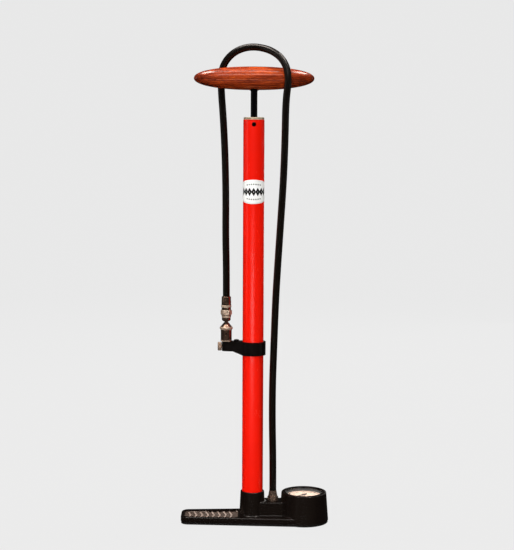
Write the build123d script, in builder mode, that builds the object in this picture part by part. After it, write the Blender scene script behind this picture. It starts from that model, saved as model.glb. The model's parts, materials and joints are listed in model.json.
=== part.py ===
"""Floor bike pump: a barrel on a cast foot, a wooden handle on a plunger, a dial gauge and a draped hose.

Millimetres. The floor is z = 0, the barrel stands on the Z axis, the foot points to -X and the gauge to +X.
"""
import math
import os

from build123d import *

# ---- driving dimensions -----------------------------------------------------------------------------
RUN = 0.05            # radial clearance of a running or sliding fit
LOOSE = 0.3           # clearance between faces that must not touch
SLIP = 0.02           # radial clearance of a fixed fit, so that neighbours do not overlap

BARREL_R = 15.0       # outside radius of the barrel
BARREL_WALL = 1.5
BARREL_TOP = 576.5
BARREL_LOW = 26.0
BORE_R = BARREL_R - BARREL_WALL

SOLE_H = 3.5          # rubber sole under the casting
SOLE_INSET = 0.6
FOOT_TIP_X = -102.7   # far end of the foot
FOOT_TIP_HALF = 23.0
FOOT_CORNER_R = 11.0
FLANGE_TOP = 11.0     # top of the casting's flat flange
GAUGE_X = 74.3
GAUGE_FOOT_R = 35.4
GAUGE_HULL_R = 33.5   # the flange's sides run in under the cup to a circle of this radius
GAUGE_LIP_R = 32.3
GAUGE_TOP = 43.6
GAUGE_FLOOR = 14.0
SOCKET_R = 17.0       # barrel socket at its rim
SOCKET_FOOT_R = 19.0
SOCKET_TOP = 45.0
WEB_HALF = 15.0       # web between the socket and the gauge cup
WEB_TOP = 30.5
WEB_ROUND = 1.5       # along the web's two top edges
WALL_BLEND = 3.0      # where the web's sides meet the socket and the cup
FOOT_BLEND = 2.0      # where the upright walls meet the flange
LIP_ROUND = 1.2
FLANGE_BLEND = 2.0
POCKET_RIM = 5.0      # wall around the foot's pocket
POCKET_DEPTH = 4.0
POCKET_END_X = -20.5
RIB_COUNT = 8         # arrow-shaped grip ribs on the pocket's floor
RIB_FIRST_X = -94.0
RIB_PITCH = 8.5
RIB_LEAN = 4.0
RIB_W = 2.2
RIB_H = 1.0
RIB_SIDE_GAP = 2.5
GASKET_H = 2.0

CAP_H = 3.5
CAP_R = 14.6
CAP_PLUG = 16.0
CAP_CHAMFER = 0.8
BUSH_R = 6.5
WIPER_H = 3.0
WIPER_SUNK = 0.4
SET_SCREW_R = 2.75
SET_SCREW_DROP = 6.5   # from the top of the barrel
SET_SCREW_COUNT = 3

ROD_R = 4.75
ROD_LOW = 28.0
PISTON_H = 11.5
CUP_H = 7.5
CUP_BASE = 2.0
CUP_WALL = 1.6
PISTON_NUT_H = 5.0
PISTON_WASHER_H = 1.5
BUMPER_R = 9.0
BUMPER_H = 8.0

HANDLE_Z = 634.2      # axis of the wooden handle
HANDLE_HALF = 85.0
HANDLE_R = 16.4
HANDLE_POWER = 2.2    # roundness of the handle's outline: 2 is an ellipse
HANDLE_STATIONS = (0.995, 0.97, 0.93, 0.87, 0.78, 0.65, 0.5, 0.35, 0.2, 0.0)
COLLAR_R = 7.0
COLLAR_LOW = 617.0
COLLAR_TOP = 621.5
INSERT_R = 7.0
INSERT_TOP = 641.0
ROD_TOP = 640.0

CLAMP_LOW = 243.0     # ring that carries the chuck's dock
CLAMP_TOP = 262.0
CLAMP_R = 18.1
CLAMP_SPLIT = 1.6
ARM_LOW = 248.4
ARM_ROOT_X = -15.0    # where the arm meets the ring
ARM_ROOT_R = 10.0
ARM_FLAT = 9.5        # level part of the arm's underside, from the chuck's axis
EAR_HALF = 6.0        # ears behind the barrel, closed by a screw
EAR_LENGTH = 12.0
EAR_SCREW_R = 2.0
EAR_HEAD_H = 3.5
CHUCK_X = -38.2
ARM_END_R = 6.2
DOCK_STUD_R = 2.6
DOCK_STUD_TOP = 270.0
DOCK_STUD_DEPTH = 9.0
DOCK_SCREW_X = -23.5
DOCK_SCREW_R = 4.4
DOCK_SCREW_DEPTH = 8.0
DOCK_SCREW_HEAD = 2.8
THUMB_R = 6.2
THUMB_W = 5.6
THUMB_SHANK_R = 2.5
THUMB_Z = 254.8
KNURL_R = 0.4
KNURL_COUNT = 24

CHUCK_R = 7.8
CHUCK_RIM_R = 9.3
CHUCK_CAP_LOW = 262.3
CHUCK_LOW = 264.0
CHUCK_RIM_LOW = 279.0
CHUCK_RIM_TOP = 282.6
CHUCK_RIM_BEVEL = 0.8
CHUCK_LIP = 0.2       # the cap stands proud of the body by this much
CHUCK_LIP_BEVEL = 0.5
CHUCK_NECK_Z = 289.0
CHUCK_FLARE = 0.85    # hollowness of the cone from the rim up to the neck: 1 is straight
GROMMET_R = 5.6
GROMMET_TOP = 274.0
GROMMET_BORE_R = 2.95
CHAMBER_LOW = 278.0
CHAMBER_TOP = 284.5
STEM_R = 2.7
STEM_FLANGE_R = 4.0
SWIVEL_LOW = 291.0
SWIVEL_TAPER_Z = 295.0
SWIVEL_HEX_Z = 300.0
SWIVEL_TOP = 307.7
SWIVEL_R = 6.3
SWIVEL_TAPER_R = 6.7
SWIVEL_HEX_R = 8.1
NUT_BEVEL = 0.6       # turned edges of the nut, the coupler and the ferrule
NUT_BEVEL_H = 1.2
GROOVE_R = 6.6
COUPLER_RING_Z = 311.0
COUPLER_TOP = 314.3
COUPLER_R = 7.2
FERRULE_TOP = 326.5
FERRULE_R = 6.9
FERRULE_TOP_R = 6.6

HOSE_R = 5.0
OUTLET_X = 29.5
OUTLET_WASHER_H = 0.8
OUTLET_NUT_TOP = 37.3
OUTLET_NUT_R = 7.8
OUTLET_SHANK_R = 3.5
OUTLET_SHANK_DEPTH = 8.5
OUTLET_FERRULE_TOP = 45.4
OUTLET_FERRULE_R = 6.5
OUTLET_FERRULE_TOP_R = 5.3
AIR_R = 1.6           # drilled air way
AIR_Z = 11.0
AIR_RISER_X = GAUGE_X - 8.0  # where the air way turns up into the gauge
BARB_R = 3.0

CHAMBER_R = 6.0       # check valve
CHAMBER_FLOOR = 6.0
SEAT_FLANGE_R = 11.0
SEAT_STEM = 7.0
BALL_R = 2.5
SPRING_R = 1.9
SPRING_WIRE_R = 0.25
SPRING_TURNS = 5
SPRING_TOP_DROP = 1.85  # from the ball's centre down to the circle that the spring bears on

LENS_R = 27.0         # gauge
GAUGE_LEDGE = 39.2
GAUGE_WELL_R = 25.4
SEAL_H = 0.9
LENS_H = 1.8
BEZEL_H = 1.6
BEZEL_BORE_R = 25.4
DIAL_TOP = 38.2
DIAL_H = 0.8
DIAL_SCREW_R = 1.4
DIAL_SCREW_H = 0.5
PLATE_GAP = 1.4        # from the plate to the wall of the well
PLATE_H = 1.6
POST_R = 1.9
POST_EDGE = 3.8        # from the posts' centres to the wall of the well
POST_ANGLES = (40.0, 160.0, 260.0)
TRAIN_PILLARS = ((-6.0, 8.0), (-6.0, -8.0), (19.8, 7.2))
TUBE_RING_R = 17.0
TUBE_HALF_H = 2.6
TUBE_HALF_W = 1.3
TUBE_Z = 21.5
TUBE_START = -70.0
TUBE_SWEEP = 235.0
TUBE_BLOCK = 6.0      # side of the block that holds the tube's fixed end
TUBE_BLOCK_BACK = 3.4
PILLAR_H = 11.3
TRAIN_PLATE_H = 1.2
TRAIN_GAP = 3.2
MODULE = 0.5
TOOTH_ROOT = 1.3      # depth below the pitch circle and height above it, in modules
TOOTH_TIP = 0.75
TOOTH_ROOT_WIDTH = 1.35  # widths at the root and the tip, in shares of the width between
TOOTH_TIP_WIDTH = 0.5
TOOTH_SUNK = 0.2
PINION_OVERLAP = 0.4  # the pinion stands this much past each face of the sector
PINION_TEETH = 10
SECTOR_TEETH = 60     # teeth of the whole circle that the sector is cut from
SECTOR_H = 1.2
SECTOR_FROM = 127.0   # directions of the sector's two sides at rest, seen from its pivot
SECTOR_TO = 190.0
CRANK_L = 5.0
CRANK_H = 1.2
CRANK_DROP = 1.6      # the crank's underside below the lower train plate's
LINK_H = 0.8
BACKLASH = 0.12
ARBOR_R = 0.8
ARBOR_EYE_R = 1.28    # ends of the crank, and of the link less a little
LINK_EYE_R = 1.2
ARBOR_PROUD = 0.2
NEEDLE_L = 21.0
NEEDLE_TAIL = 6.0
NEEDLE_TIP_HALF = 0.15
NEEDLE_HALF = 0.9
NEEDLE_TAIL_HALF = 1.3
NEEDLE_HUB_R = 2.4
NEEDLE_GAP = 0.3       # over the heads of the dial screws
NEEDLE_H = 0.7
NEEDLE_REST = 225.0   # direction of the needle at no pressure

# ---- the hose's route, from the base outlet over the handle to the chuck -----------------------------
HOSE_POINTS = [
    (29.5, 0.0, 45.4),
    (29.5, 0.0, 90.0),
    (28.0, -4.2, 148.0),
    (28.1, -8.8, 206.0),
    (29.9, -12.2, 264.0),
    (31.6, -14.6, 322.0),
    (34.8, -16.8, 380.0),
    (38.4, -18.8, 438.0),
    (41.8, -20.4, 496.0),
    (43.5, -21.6, 552.0),
    (44.0, -23.2, 600.3),
    (47.5, -24.0, 630.3),
    (45.8, -18.8, 647.7),
    (38.2, -11.1, 662.0),
    (26.0, -2.2, 671.6),
    (12.9, 8.0, 676.7),
    (-1.9, 14.7, 678.9),
    (-17.2, 18.4, 676.7),
    (-31.0, 20.8, 669.6),
    (-41.5, 22.4, 658.0),
    (-46.8, 23.2, 643.3),
    (-46.8, 23.1, 618.7),
    (-43.5, 21.0, 578.2),
    (-40.9, 17.8, 528.0),
    (-39.4, 12.2, 470.0),
    (-39.5, 5.2, 414.0),
    (-38.2, 0.0, 364.0),
    (-38.2, 0.0, 326.5),
]

# ---- worked-out places ------------------------------------------------------------------------------
ROD_BORE_R = ROD_R + RUN
HANDLE_TIP_X = HANDLE_HALF * HANDLE_STATIONS[0]
PISTON_LOW = ROD_LOW + PISTON_NUT_H + PISTON_WASHER_H
PISTON_FACE = PISTON_LOW + CUP_BASE
PISTON_TOP = PISTON_FACE + PISTON_H
SOCKET_FLOOR = BARREL_LOW - GASKET_H
SEAT_EDGE_Z = SOCKET_FLOOR - SEAT_STEM
SEAT_HOLE_R = AIR_R
BALL_Z = SEAT_EDGE_Z - math.sqrt(BALL_R**2 - SEAT_HOLE_R**2) - SLIP
DIAL_LOW = DIAL_TOP - DIAL_H
DIAL_R = GAUGE_WELL_R - LOOSE
PLATE_R = GAUGE_WELL_R - PLATE_GAP
POST_RING = GAUGE_WELL_R - POST_EDGE
NEEDLE_Z = DIAL_TOP + DIAL_SCREW_H + NEEDLE_GAP
SET_SCREW_Z = BARREL_TOP - SET_SCREW_DROP
PLATE_TOP = GAUGE_FLOOR + PLATE_H
LOWER_TRAIN_Z = PLATE_TOP + PILLAR_H
GEAR_Z = LOWER_TRAIN_Z + TRAIN_PLATE_H + (TRAIN_GAP - SECTOR_H) / 2
UPPER_TRAIN_Z = LOWER_TRAIN_Z + TRAIN_PLATE_H + TRAIN_GAP
PINION_R = MODULE * PINION_TEETH / 2
SECTOR_R = MODULE * SECTOR_TEETH / 2
TUBE_TIP = math.radians(TUBE_START + TUBE_SWEEP)
LINK_Z = TUBE_Z + TUBE_HALF_H + SLIP
PIVOT_X = GAUGE_X + PINION_R + SECTOR_R + BACKLASH
LENS_LOW = GAUGE_LEDGE + SEAL_H
BEZEL_LOW = LENS_LOW + LENS_H
CAP_TOP = BARREL_TOP + CAP_H
BUSH_TOP = CAP_TOP - WIPER_H
CLAMP_MID = (CLAMP_LOW + CLAMP_TOP) / 2
EAR_SCREW_Y = BARREL_R + EAR_LENGTH - 3.4
THUMB_FACE_X = CHUCK_X - ARM_END_R
THUMB_SHANK_L = ARM_END_R - DOCK_STUD_R - 0.8
STEM_SLEEVE_R = STEM_R + 0.8
SCREW_PLANES = [Plane.XZ.rotated((0, 0, i * 360 / SET_SCREW_COUNT)) for i in range(SET_SCREW_COUNT)]
UP = (Align.CENTER, Align.CENTER, Align.MIN)
DOWN = (Align.CENTER, Align.CENTER, Align.MAX)

os.makedirs("parts", exist_ok=True)


def save(builder, name):
    """Label a finished piece and write it."""
    builder.part.label = name
    export_step(builder.part, f"parts/{name}.step")


def flange_half(x):
    """Half width of the flange at x, between its corners and the gauge."""
    return FOOT_TIP_HALF + (x - FOOT_TIP_X) / (GAUGE_X - FOOT_TIP_X) * (GAUGE_HULL_R - FOOT_TIP_HALF)


def foot_outline(inset, end_x=None):
    """Hull of the foot's two corners and the gauge's circle, moved in; end_x stops it before the gauge."""
    corner_r = FOOT_CORNER_R - inset
    corner_y = FOOT_TIP_HALF - FOOT_CORNER_R
    with Locations((FOOT_TIP_X + FOOT_CORNER_R, corner_y), (FOOT_TIP_X + FOOT_CORNER_R, -corner_y)):
        Circle(corner_r)
    if end_x is None:
        with Locations((GAUGE_X, 0)):
            Circle(GAUGE_HULL_R - inset)
    else:
        half = flange_half(end_x) - inset
        with Locations((end_x - corner_r, half - corner_r), (end_x - corner_r, corner_r - half)):
            Circle(corner_r)
    make_hull()


def level_edges(builder, height):
    """Edges that lie level at a height."""
    return [
        edge for edge in builder.edges()
        if abs(edge.center().Z - height) < SLIP and edge.bounding_box().size.Z < SLIP
    ]


def ring(name, x, low, high, outer, inner):
    """A plain ring about the vertical line through (x, 0)."""
    with BuildPart() as piece:
        with BuildSketch(Plane.XY.offset(low)):
            with Locations((x, 0)):
                Circle(outer)
                Circle(inner, mode=Mode.SUBTRACT)
        extrude(amount=high - low)
    save(piece, name)


def turned(name, x, profile):
    """A piece turned about the vertical line through (x, 0) from a closed profile of (radius, height)."""
    with BuildPart() as piece:
        with BuildSketch(Plane.XZ):
            with BuildLine():
                Polyline([(x + r, z) for r, z in profile], close=True)
            make_face()
        revolve(axis=Axis((x, 0, 0), (0, 0, 1)))
    save(piece, name)


def sector_point(angle):
    """Corner of the sector's blank at its root radius."""
    r = SECTOR_R - TOOTH_ROOT * MODULE
    return (r * math.cos(math.radians(angle)), r * math.sin(math.radians(angle)))


def teeth(count, pitch_r, numbers, phase):
    """Gear teeth, each a tapered bar with its middle at the pitch radius; call it inside a sketch."""
    root_r = pitch_r - TOOTH_ROOT * MODULE
    tip_r = pitch_r + TOOTH_TIP * MODULE
    half_pitch = math.pi * MODULE / 4 - BACKLASH
    root_half = half_pitch * TOOTH_ROOT_WIDTH
    tip_half = half_pitch * TOOTH_TIP_WIDTH
    for number in numbers:
        with Locations(Location((0, 0), phase + number * 360 / count)):
            Polygon(
                (root_r - TOOTH_SUNK, -root_half),
                (tip_r, -tip_half),
                (tip_r, tip_half),
                (root_r - TOOTH_SUNK, root_half),
                align=None,
            )


# ---- base --------------------------------------------------------------------------------------------
with BuildPart() as base_casting:
    with BuildSketch(Plane.XY.offset(SOLE_H)):
        foot_outline(0)
    extrude(amount=FLANGE_TOP - SOLE_H)
    fillet(base_casting.faces().sort_by(Axis.Z)[-1].edges(), radius=FLANGE_BLEND)
    with Locations((0, 0, SOLE_H)):
        Cone(SOCKET_FOOT_R, SOCKET_R, SOCKET_TOP - SOLE_H, align=UP)
    with Locations((GAUGE_X, 0, SOLE_H)):
        Cone(GAUGE_FOOT_R, GAUGE_LIP_R, GAUGE_TOP - SOLE_H, align=UP)
    with BuildSketch(Plane.XY.offset(SOLE_H)):
        with Locations((GAUGE_X / 2, 0)):
            Rectangle(GAUGE_X, 2 * WEB_HALF)
    extrude(amount=WEB_TOP - SOLE_H)
    fillet([e for e in level_edges(base_casting, WEB_TOP) if e.geom_type == GeomType.LINE], radius=WEB_ROUND)
    walls = [e for e in base_casting.edges() if e.bounding_box().size.Z > WEB_TOP / 2]
    fillet([e for e in walls if SOCKET_R / 2 < e.center().X < GAUGE_X - GAUGE_LIP_R / 2], radius=WALL_BLEND)
    flange = [e for e in level_edges(base_casting, FLANGE_TOP) if -SOCKET_FOOT_R < e.center().X < GAUGE_X]
    fillet([e for e in flange if abs(e.center().Y) < WEB_HALF + WALL_BLEND / 2], radius=FOOT_BLEND)
    fillet(level_edges(base_casting, GAUGE_TOP), radius=LIP_ROUND)
    fillet(level_edges(base_casting, SOCKET_TOP), radius=LIP_ROUND)
    with Locations((GAUGE_X, 0, GAUGE_LEDGE)):
        Cylinder(LENS_R + RUN, GAUGE_TOP - GAUGE_LEDGE, align=UP, mode=Mode.SUBTRACT)
    with Locations((GAUGE_X, 0, GAUGE_FLOOR)):
        Cylinder(GAUGE_WELL_R, GAUGE_LEDGE - GAUGE_FLOOR, align=UP, mode=Mode.SUBTRACT)
    with Locations((0, 0, SOCKET_FLOOR)):
        Cylinder(BARREL_R + SLIP, SOCKET_TOP - SOCKET_FLOOR, align=UP, mode=Mode.SUBTRACT)
    with Locations((0, 0, CHAMBER_FLOOR)):
        Cylinder(CHAMBER_R, SOCKET_FLOOR - CHAMBER_FLOOR, align=UP, mode=Mode.SUBTRACT)
    with BuildSketch(Plane.XY.offset(FLANGE_TOP)):
        foot_outline(POCKET_RIM, POCKET_END_X)
    extrude(amount=-POCKET_DEPTH, mode=Mode.SUBTRACT)
    with BuildSketch(Plane.XY.offset(FLANGE_TOP - POCKET_DEPTH)):
        for number in range(RIB_COUNT):
            x = RIB_FIRST_X + number * RIB_PITCH
            y = flange_half(x) - POCKET_RIM - RIB_SIDE_GAP
            Polygon((x, -y), (x + RIB_LEAN, 0), (x, y), (x + RIB_W, y), (x + RIB_LEAN + RIB_W, 0),
                    (x + RIB_W, -y), align=None)
    extrude(amount=RIB_H)
    with BuildSketch(Plane.YZ):
        with Locations((0, AIR_Z)):
            Circle(AIR_R)
    extrude(amount=AIR_RISER_X, mode=Mode.SUBTRACT)
    with Locations((AIR_RISER_X, 0, AIR_Z)):
        Cylinder(AIR_R, GAUGE_FLOOR - AIR_Z, align=UP, mode=Mode.SUBTRACT)
    with Locations((OUTLET_X, 0, AIR_Z)):
        Cylinder(AIR_R, WEB_TOP - AIR_Z, align=UP, mode=Mode.SUBTRACT)
    with Locations((OUTLET_X, 0, WEB_TOP)):
        Cylinder(OUTLET_SHANK_R + SLIP, OUTLET_SHANK_DEPTH + LOOSE, align=DOWN, mode=Mode.SUBTRACT)
save(base_casting, "base_casting")

with BuildPart() as base_sole:
    with BuildSketch():
        foot_outline(SOLE_INSET)
        with Locations((GAUGE_X, 0)):
            Circle(GAUGE_FOOT_R - SOLE_INSET)
    extrude(amount=SOLE_H)
save(base_sole, "base_sole")

# ---- barrel ------------------------------------------------------------------------------------------
with BuildPart() as barrel_tube:
    with BuildSketch(Plane.XY.offset(BARREL_LOW)):
        Circle(BARREL_R)
        Circle(BORE_R, mode=Mode.SUBTRACT)
    extrude(amount=BARREL_TOP - BARREL_LOW)
    for plane in SCREW_PLANES:
        with BuildSketch(plane):
            with Locations((0, SET_SCREW_Z)):
                Circle(SET_SCREW_R + SLIP)
        extrude(amount=BARREL_R + 1, mode=Mode.SUBTRACT)
save(barrel_tube, "barrel_tube")
ring("barrel_gasket", 0, SOCKET_FLOOR, BARREL_LOW, BARREL_R - SLIP, SEAT_FLANGE_R + LOOSE)

# ---- top cap -----------------------------------------------------------------------------------------
with BuildPart() as top_cap:
    with BuildSketch(Plane.XY.offset(BARREL_TOP - CAP_PLUG)):
        Circle(BORE_R - SLIP)
    extrude(amount=CAP_PLUG)
    with BuildSketch(Plane.XY.offset(BARREL_TOP)):
        Circle(CAP_R)
    extrude(amount=CAP_H)
    chamfer(top_cap.faces().sort_by(Axis.Z)[-1].edges(), length=CAP_CHAMFER)
    with Locations((0, 0, CAP_TOP)):
        Cylinder(BUSH_R, CAP_PLUG + CAP_H, align=DOWN, mode=Mode.SUBTRACT)
    for plane in SCREW_PLANES:
        with BuildSketch(plane):
            with Locations((0, SET_SCREW_Z)):
                Circle(SET_SCREW_R + SLIP)
        extrude(amount=BARREL_R, mode=Mode.SUBTRACT)
save(top_cap, "top_cap")
ring("rod_bush", 0, BARREL_TOP - CAP_PLUG, BUSH_TOP, BUSH_R - SLIP, ROD_BORE_R)
ring("rod_wiper", 0, BUSH_TOP, CAP_TOP - WIPER_SUNK, BUSH_R - SLIP, ROD_BORE_R + RUN)

with BuildPart() as cap_set_screws:
    for plane in SCREW_PLANES:
        with BuildSketch(plane.offset(BUSH_R + LOOSE)):
            with Locations((0, SET_SCREW_Z)):
                Circle(SET_SCREW_R)
        extrude(amount=BARREL_R - BUSH_R)
        with BuildSketch(plane.offset(BARREL_R + LOOSE)):
            with Locations((0, SET_SCREW_Z)):
                RegularPolygon(SET_SCREW_R / 2, 6)
        extrude(amount=-2.0, mode=Mode.SUBTRACT)
save(cap_set_screws, "cap_set_screws")

# ---- plunger -----------------------------------------------------------------------------------------
with BuildPart() as plunger_rod:
    with BuildSketch(Plane.XY.offset(ROD_LOW)):
        Circle(ROD_R)
    extrude(amount=ROD_TOP - ROD_LOW)
    chamfer(plunger_rod.edges().filter_by(GeomType.CIRCLE), length=0.6)
save(plunger_rod, "plunger_rod")

with BuildPart() as piston_nut:
    with BuildSketch(Plane.XY.offset(ROD_LOW)):
        RegularPolygon(ROD_R * 1.85, 6)
        Circle(ROD_R + SLIP, mode=Mode.SUBTRACT)
    extrude(amount=PISTON_NUT_H)
save(piston_nut, "piston_nut")
ring("piston_washer", 0, PISTON_LOW - PISTON_WASHER_H, PISTON_LOW, ROD_R * 2, ROD_R + SLIP)

with BuildPart() as piston_cup:
    with BuildSketch(Plane.XY.offset(PISTON_FACE)):
        Circle(BORE_R - RUN)
    extrude(amount=-CUP_H)
    with Locations((0, 0, PISTON_LOW)):
        Cylinder(BORE_R - RUN - CUP_WALL, CUP_H, align=DOWN, mode=Mode.SUBTRACT)
    with Locations((0, 0, PISTON_FACE)):
        Cylinder(ROD_BORE_R, CUP_H, align=DOWN, mode=Mode.SUBTRACT)
save(piston_cup, "piston_cup")

with BuildPart() as piston_head:
    with BuildSketch(Plane.XY.offset(PISTON_FACE)):
        Circle(BORE_R - 2 * RUN)
        Circle(ROD_BORE_R, mode=Mode.SUBTRACT)
    extrude(amount=PISTON_H)
    with BuildSketch(Plane.XY.offset(PISTON_FACE + PISTON_H / 3)):
        Circle(BORE_R + 1)
        Circle(BORE_R - 1.5, mode=Mode.SUBTRACT)
    extrude(amount=PISTON_H / 3, mode=Mode.SUBTRACT)
save(piston_head, "piston_head")
ring("rod_bumper", 0, PISTON_TOP, PISTON_TOP + BUMPER_H, BUMPER_R, ROD_R + SLIP)


def handle_radius(x):
    """Radius of the handle at x: a superellipse in the plane of its axis."""
    return HANDLE_R * (1 - abs(x / HANDLE_HALF) ** HANDLE_POWER) ** (1 / HANDLE_POWER)


with BuildPart() as handle:
    right = [(HANDLE_HALF * s, HANDLE_Z + handle_radius(HANDLE_HALF * s)) for s in HANDLE_STATIONS]
    left = [(-x, z) for x, z in reversed(right[:-1])]
    with BuildSketch(Plane.XZ):
        with BuildLine():
            Spline(*right, *left)
            Polyline(left[-1], (-HANDLE_TIP_X, HANDLE_Z), (HANDLE_TIP_X, HANDLE_Z), right[0])
        make_face()
    revolve(axis=Axis((0, 0, HANDLE_Z), (1, 0, 0)))
    with Locations((0, 0, INSERT_TOP)):
        Cylinder(INSERT_R + SLIP, INSERT_TOP - COLLAR_LOW + 5, align=DOWN, mode=Mode.SUBTRACT)
    with Locations((0, 0, COLLAR_TOP)):
        Cylinder(COLLAR_R + LOOSE, COLLAR_TOP - COLLAR_LOW + 5, align=DOWN, mode=Mode.SUBTRACT)
save(handle, "handle")
ring("handle_insert", 0, COLLAR_TOP, INSERT_TOP, INSERT_R, ROD_R + SLIP)

with BuildPart() as handle_collar:
    with BuildSketch(Plane.XY.offset(COLLAR_LOW)):
        Circle(COLLAR_R)
        Circle(ROD_R + SLIP, mode=Mode.SUBTRACT)
    extrude(amount=COLLAR_TOP - COLLAR_LOW)
    chamfer(handle_collar.faces().sort_by(Axis.Z)[0].outer_wire().edges(), length=0.6)
save(handle_collar, "handle_collar")

# ---- chuck dock on the barrel ------------------------------------------------------------------------
with BuildPart() as barrel_clamp:
    with BuildSketch(Plane.XY.offset(CLAMP_LOW)):
        with Locations((CHUCK_X, 0)):
            Circle(ARM_END_R)
        with Locations((ARM_ROOT_X, 0)):
            Circle(ARM_ROOT_R)
        make_hull()
        Circle(CLAMP_R)
        with Locations((0, CLAMP_R)):
            Rectangle(EAR_HALF * 2, EAR_LENGTH * 2)
    extrude(amount=CLAMP_TOP - CLAMP_LOW)
    with BuildSketch(Plane.XZ.offset(-CLAMP_R)):
        with BuildLine():
            Polyline(
                (CHUCK_X - CLAMP_R, ARM_LOW),
                (CHUCK_X + ARM_FLAT, ARM_LOW),
                (ARM_ROOT_X, CLAMP_LOW),
                (ARM_ROOT_X, CLAMP_LOW - 1),
                (CHUCK_X - CLAMP_R, CLAMP_LOW - 1),
                close=True,
            )
        make_face()
    extrude(amount=2 * CLAMP_R, mode=Mode.SUBTRACT)
    with Locations((0, 0, CLAMP_LOW)):
        Cylinder(BARREL_R + SLIP, CLAMP_TOP - CLAMP_LOW, align=UP, mode=Mode.SUBTRACT)
    with BuildSketch(Plane.XY.offset(CLAMP_LOW)):
        with Locations((0, BARREL_R + EAR_LENGTH)):
            Rectangle(CLAMP_SPLIT, 2 * EAR_LENGTH)
    extrude(amount=CLAMP_TOP - CLAMP_LOW, mode=Mode.SUBTRACT)
    with BuildSketch(Plane.YZ.offset(-EAR_HALF)):
        with Locations((EAR_SCREW_Y, CLAMP_MID)):
            Circle(EAR_SCREW_R + SLIP)
    extrude(amount=2 * EAR_HALF, mode=Mode.SUBTRACT)
    with Locations((CHUCK_X, 0, CLAMP_TOP)):
        Cylinder(DOCK_STUD_R + SLIP, DOCK_STUD_DEPTH, align=DOWN, mode=Mode.SUBTRACT)
    with Locations((DOCK_SCREW_X, 0, CLAMP_TOP)):
        Cylinder(DOCK_SCREW_R / 2 + SLIP, DOCK_SCREW_DEPTH, align=DOWN, mode=Mode.SUBTRACT)
    with BuildSketch(Plane.YZ.offset(THUMB_FACE_X)):
        with Locations((0, THUMB_Z)):
            Circle(THUMB_SHANK_R + RUN)
    extrude(amount=THUMB_SHANK_L + LOOSE, mode=Mode.SUBTRACT)
save(barrel_clamp, "barrel_clamp")

with BuildPart() as clamp_screw:
    with BuildSketch(Plane.YZ.offset(-EAR_HALF - EAR_HEAD_H)):
        with Locations((EAR_SCREW_Y, CLAMP_MID)):
            Circle(EAR_SCREW_R * 1.8)
    extrude(amount=EAR_HEAD_H)
    with BuildSketch(Plane.YZ.offset(-EAR_HALF)):
        with Locations((EAR_SCREW_Y, CLAMP_MID)):
            Circle(EAR_SCREW_R)
    extrude(amount=2 * EAR_HALF + 1)
    with BuildSketch(Plane.YZ.offset(-EAR_HALF - EAR_HEAD_H)):
        with Locations((EAR_SCREW_Y, CLAMP_MID)):
            RegularPolygon(EAR_SCREW_R * 0.8, 6)
    extrude(amount=EAR_HEAD_H * 0.7, mode=Mode.SUBTRACT)
save(clamp_screw, "clamp_screw")

with BuildPart() as dock_stud:
    with BuildSketch(Plane.XY.offset(CLAMP_TOP - DOCK_STUD_DEPTH)):
        with Locations((CHUCK_X, 0)):
            Circle(DOCK_STUD_R)
    extrude(amount=DOCK_STUD_TOP - CLAMP_TOP + DOCK_STUD_DEPTH)
    chamfer(dock_stud.faces().sort_by(Axis.Z)[-1].edges(), length=DOCK_STUD_R / 4)
save(dock_stud, "dock_stud")

with BuildPart() as dock_screw:
    with Locations((DOCK_SCREW_X, 0, CLAMP_TOP)):
        Cylinder(DOCK_SCREW_R / 2, DOCK_SCREW_DEPTH - LOOSE, align=DOWN)
        Cylinder(DOCK_SCREW_R, DOCK_SCREW_HEAD, align=UP)
    fillet(dock_screw.faces().sort_by(Axis.Z)[-1].edges(), radius=DOCK_SCREW_HEAD * 0.75)
    with BuildSketch(Plane.XY.offset(CLAMP_TOP + DOCK_SCREW_HEAD)):
        with Locations((DOCK_SCREW_X, 0)):
            RegularPolygon(DOCK_SCREW_R / 2.6, 6)
    extrude(amount=-DOCK_SCREW_HEAD * 0.6, mode=Mode.SUBTRACT)
save(dock_screw, "dock_screw")

with BuildPart() as thumb_screw:
    with BuildSketch(Plane.YZ.offset(THUMB_FACE_X - LOOSE)):
        with Locations((0, THUMB_Z)):
            Circle(THUMB_R)
            with PolarLocations(THUMB_R, KNURL_COUNT):
                Circle(KNURL_R, mode=Mode.SUBTRACT)
    extrude(amount=-THUMB_W)
    with BuildSketch(Plane.YZ.offset(THUMB_FACE_X - LOOSE)):
        with Locations((0, THUMB_Z)):
            Circle(THUMB_SHANK_R)
    extrude(amount=THUMB_SHANK_L)
save(thumb_screw, "thumb_screw")

# ---- chuck -------------------------------------------------------------------------------------------
flare = [(CHUCK_RIM_R - (CHUCK_RIM_R - STEM_SLEEVE_R) * share**CHUCK_FLARE,
          CHUCK_RIM_TOP + (CHUCK_NECK_Z - CHUCK_RIM_TOP) * share) for share in (0.0, 0.2, 0.4, 0.6, 0.8, 1.0)]
turned("chuck_body", CHUCK_X, [
    (GROMMET_R + SLIP, CHUCK_LOW), (CHUCK_R, CHUCK_LOW), (CHUCK_R, CHUCK_RIM_LOW),
    (CHUCK_RIM_R, CHUCK_RIM_LOW + CHUCK_RIM_BEVEL), *flare,
    (STEM_R + RUN, CHUCK_NECK_Z), (STEM_R + RUN, CHAMBER_TOP), (STEM_FLANGE_R + LOOSE, CHAMBER_TOP),
    (STEM_FLANGE_R + LOOSE, GROMMET_TOP), (GROMMET_R + SLIP, GROMMET_TOP),
])
ring("chuck_grommet", CHUCK_X, CHUCK_LOW, GROMMET_TOP, GROMMET_R, GROMMET_BORE_R)
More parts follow.
